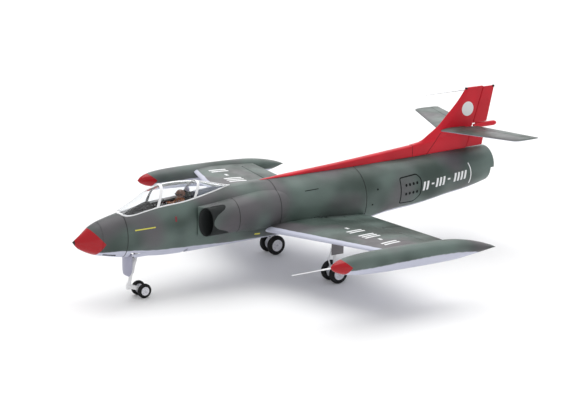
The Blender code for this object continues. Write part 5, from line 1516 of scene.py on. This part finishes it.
def make_markings():
    for side, name in SIDES:
        put = on_side(side)
        hatch = rounded([(0.9400, 0.2200), (0.9970, 0.2240), (1.0095, 0.2110), (1.0085, 0.1665),
                         (0.9910, 0.1490),
                         (0.9430, 0.1500)], 0.006)
        lines = [ribbon(densify(hatch), 0.0029, put, closed=True)]
        lines.append(patch(disc_outline(0.8634, 0.2020, 0.0030, 0.0026), put))
        lines.append(patch(disc_outline(0.8456, 0.1632, 0.0025, 0.0022), put))
        lines.append(patch([(0.6390, 0.2248), (0.6812, 0.2256), (0.6812, 0.2272), (0.6390, 0.2264)], put))
        # a dark ribbon laid over the carved slot under the nose: painted shade in the slot
        lines.append(ribbon(densify([(0.0720, 0.1316), (0.1060, 0.1258)], 0.003, closed=False), 0.0034, put,
                            0.0003))
        for row_z in (0.1995, 0.1755):
            lines += [patch(disc_outline(0.9590 + 0.0122 * k, row_z + 0.0008 * k, 0.0030, 0.0040, 14), put,
                            lift=0.0009)
                      for k in range(4)]
        piece(f"access_panel_lines_and_slot_shade_{name}", join_meshes(*lines), DARK_LINE_AND_SHADE_LOOK, "airframe")

        bars = []
        for s in (1.0150, 1.0270, 1.0600, 1.0720, 1.0840, 1.1240, 1.1360, 1.1480, 1.1600):
            low, high = 0.1770 + (s - 1.0150) * 0.078, 0.2010 + (s - 1.0150) * 0.078
            bars.append(patch([(s, low), (s + 0.0065, low), (s + 0.0105, high), (s + 0.0040, high)], put))
        for s in (1.0450, 1.1020):
            middle = 0.1900 + (s - 1.0150) * 0.078
            bars.append(patch([(s, middle - 0.0022), (s + 0.0090, middle - 0.0022),
                               (s + 0.0095, middle + 0.0022),
                               (s + 0.0005, middle + 0.0022)], put))
        arc = [(1.1790, 0.2300), (1.1835, 0.2170), (1.1855, 0.2030), (1.1860, 0.1870), (1.1850, 0.1715)]
        bars.append(ribbon(densify(arc, 0.003, closed=False), 0.0032, put))
        piece(f"white_marks_{name}", join_meshes(*bars), MARK_LOOK, "airframe")

        stripe = patch([(0.1500, 0.1868), (0.2060, 0.1876), (0.2060, 0.1904), (0.1500, 0.1896)], put)
        dash = patch([(0.4905, 0.1292), (0.5060, 0.1284), (0.5060, 0.1322), (0.4905, 0.1330)], put)
        piece(f"yellow_marks_{name}", join_meshes(stripe, dash), YELLOW_LOOK, "airframe")
        mark = patch([(0.2620, 0.1950), (0.2662, 0.1950), (0.2662, 0.2080), (0.2620, 0.2080)], put)
        piece(f"red_mark_{name}", mark, RED_MARK_LOOK, "airframe")

        fin = on_fin(side)
        badge = patch(disc_outline(1.2080, 0.3685, 0.0200, 0.0200, 32), fin, lift=0.0003)
        piece(f"fin_badge_{name}", badge, MARK_LOOK, "airframe")
        seam = ribbon(densify([(1.0660, 0.2560), (1.0880, 0.2800), (1.1165, 0.3110)], 0.003, closed=False),
                      0.0011, fin)
        piece(f"fin_seam_{name}", seam, DARK_LINE_AND_SHADE_LOOK, "airframe")

        top = on_wing(side)
        blocks = []
        for x in (0.2440, 0.2580, 0.2960, 0.3100, 0.3240, 0.3920, 0.4060):
            blocks.append(patch([(x, 0.6860), (x + 0.0075, 0.6860), (x + 0.0145, 0.6360),
                                 (x + 0.0070, 0.6360)], top))
        for x in (0.2130, 0.3560):
            blocks.append(patch([(x, 0.6650), (x + 0.0140, 0.6650), (x + 0.0150, 0.6570),
                                 (x + 0.0010, 0.6570)], top))
        piece(f"wing_marks_{name}", join_meshes(*blocks), MARK_LOOK, "airframe")


# ---- floor, light and camera ------------------------------------------------------------
WORLD_LIGHT = 0.78
FLOOR_REACH, FLOOR_RISE = 9.0, 5.0
CURVE_START, CURVE_RADIUS = 5.0, 2.0
LIGHT_AIM = (0.0, 0.0, 0.15)
OVERHEAD_PLACE, OVERHEAD_SPREAD, OVERHEAD_POWER = (-0.6, 0.9, 4.0), math.radians(60), 1.75
BACK_PLACE, BACK_SIZE, BACK_POWER = (-5.2, 3.4, 2.4), 4.5, 48.0
VIEW_AZIMUTH, VIEW_ELEVATION, VIEW_ROLL = math.radians(56.744), math.radians(15.340), math.radians(0.749)
VIEW_PLACE, VIEW_LENS, VIEW_SENSOR, VIEW_REACH = (4.07130, -2.70909, 1.52623), 122.66, 36.0, 50.0


def make_studio():
    bm = bmesh.new()
    profile = [(-FLOOR_REACH, 0.0)] + [(y, 0.0) for y in spread(-2.0, CURVE_START, 1.0)]
    profile += [(CURVE_START + CURVE_RADIUS * math.sin(t), CURVE_RADIUS - CURVE_RADIUS * math.cos(t))
                for t in [math.pi / 2 * k / 12 for k in range(1, 13)]]
    profile += [(CURVE_START + CURVE_RADIUS, FLOOR_RISE)]
    rows = [[bm.verts.new((x, y, z)) for y, z in profile] for x in (-FLOOR_REACH, FLOOR_REACH)]
    for i in range(len(profile) - 1):
        bm.faces.new((rows[0][i], rows[0][i + 1], rows[1][i + 1], rows[1][i]))
    floor = new_object("studio_floor", bm)
    look = Look("studio_paper", specular=0.2)
    look.colour(look.mix(look.noise(0.6, 1.0), (0.86, 0.86, 0.86), (0.845, 0.845, 0.85)))
    look.roughness(look.ramp(look.noise(3.0, 1.0), 0.3, 0.7, 0.75, 0.85, smooth=False))
    floor.data.materials.append(look.material)
    floor.data.shade_smooth()

    world = bpy.data.worlds.new("studio_light")
    world.use_nodes = True
    world.node_tree.nodes["Background"].inputs["Color"].default_value = (1.0, 1.0, 1.0, 1.0)
    world.node_tree.nodes["Background"].inputs["Strength"].default_value = WORLD_LIGHT
    bpy.context.scene.world = world
    bpy.context.scene.view_settings.view_transform = 'Standard'

    overhead = bpy.data.lights.new("overhead_light", 'SUN')
    overhead.energy = OVERHEAD_POWER
    overhead.angle = OVERHEAD_SPREAD
    back = bpy.data.lights.new("back_light", 'AREA')
    back.energy = BACK_POWER
    back.shape = 'RECTANGLE'
    back.size = BACK_SIZE
    back.size_y = BACK_SIZE * 0.6
    for data, place in ((overhead, OVERHEAD_PLACE), (back, BACK_PLACE)):
        lamp = bpy.data.objects.new(data.name, data)
        lamp.location = place
        lamp.visible_camera = False
        aim = Vector(LIGHT_AIM) - lamp.location
        lamp.rotation_mode = 'QUATERNION'
        lamp.rotation_quaternion = aim.to_track_quat('-Z', 'Y')
        bpy.context.scene.collection.objects.link(lamp)


def make_camera():
    flat = math.cos(VIEW_ELEVATION)
    back = Vector((math.sin(VIEW_AZIMUTH) * flat, -math.cos(VIEW_AZIMUTH) * flat, math.sin(VIEW_ELEVATION)))
    right = Vector((math.cos(VIEW_AZIMUTH), math.sin(VIEW_AZIMUTH), 0.0))
    up = back.cross(right)
    cosine, sine = math.cos(VIEW_ROLL), math.sin(VIEW_ROLL)
    right, up = right * cosine + up * sine, up * cosine - right * sine
    data = bpy.data.cameras.new("main_view")
    data.lens = VIEW_LENS
    data.sensor_width = VIEW_SENSOR
    data.clip_end = VIEW_REACH
    camera = bpy.data.objects.new("main_view", data)
    basis = Matrix((right, up, back)).transposed().to_4x4()
    camera.matrix_world = Matrix.Translation(VIEW_PLACE) @ basis
    bpy.context.scene.collection.objects.link(camera)
    bpy.context.scene.camera = camera


# ---- build ------------------------------------------------------------------------------
make_studio()
make_camera()
make_fuselage()
make_intakes()
make_spine()
make_fin()
make_tail()
make_wings()
make_probes()
make_glass()
make_canopy_frame()
make_tub()
make_pilot()
for gear_side, gear_name in SIDES:
    make_main_gear(gear_side, gear_name)
make_nose_gear()
make_thrust_tube()
finish_inside()
make_markings()
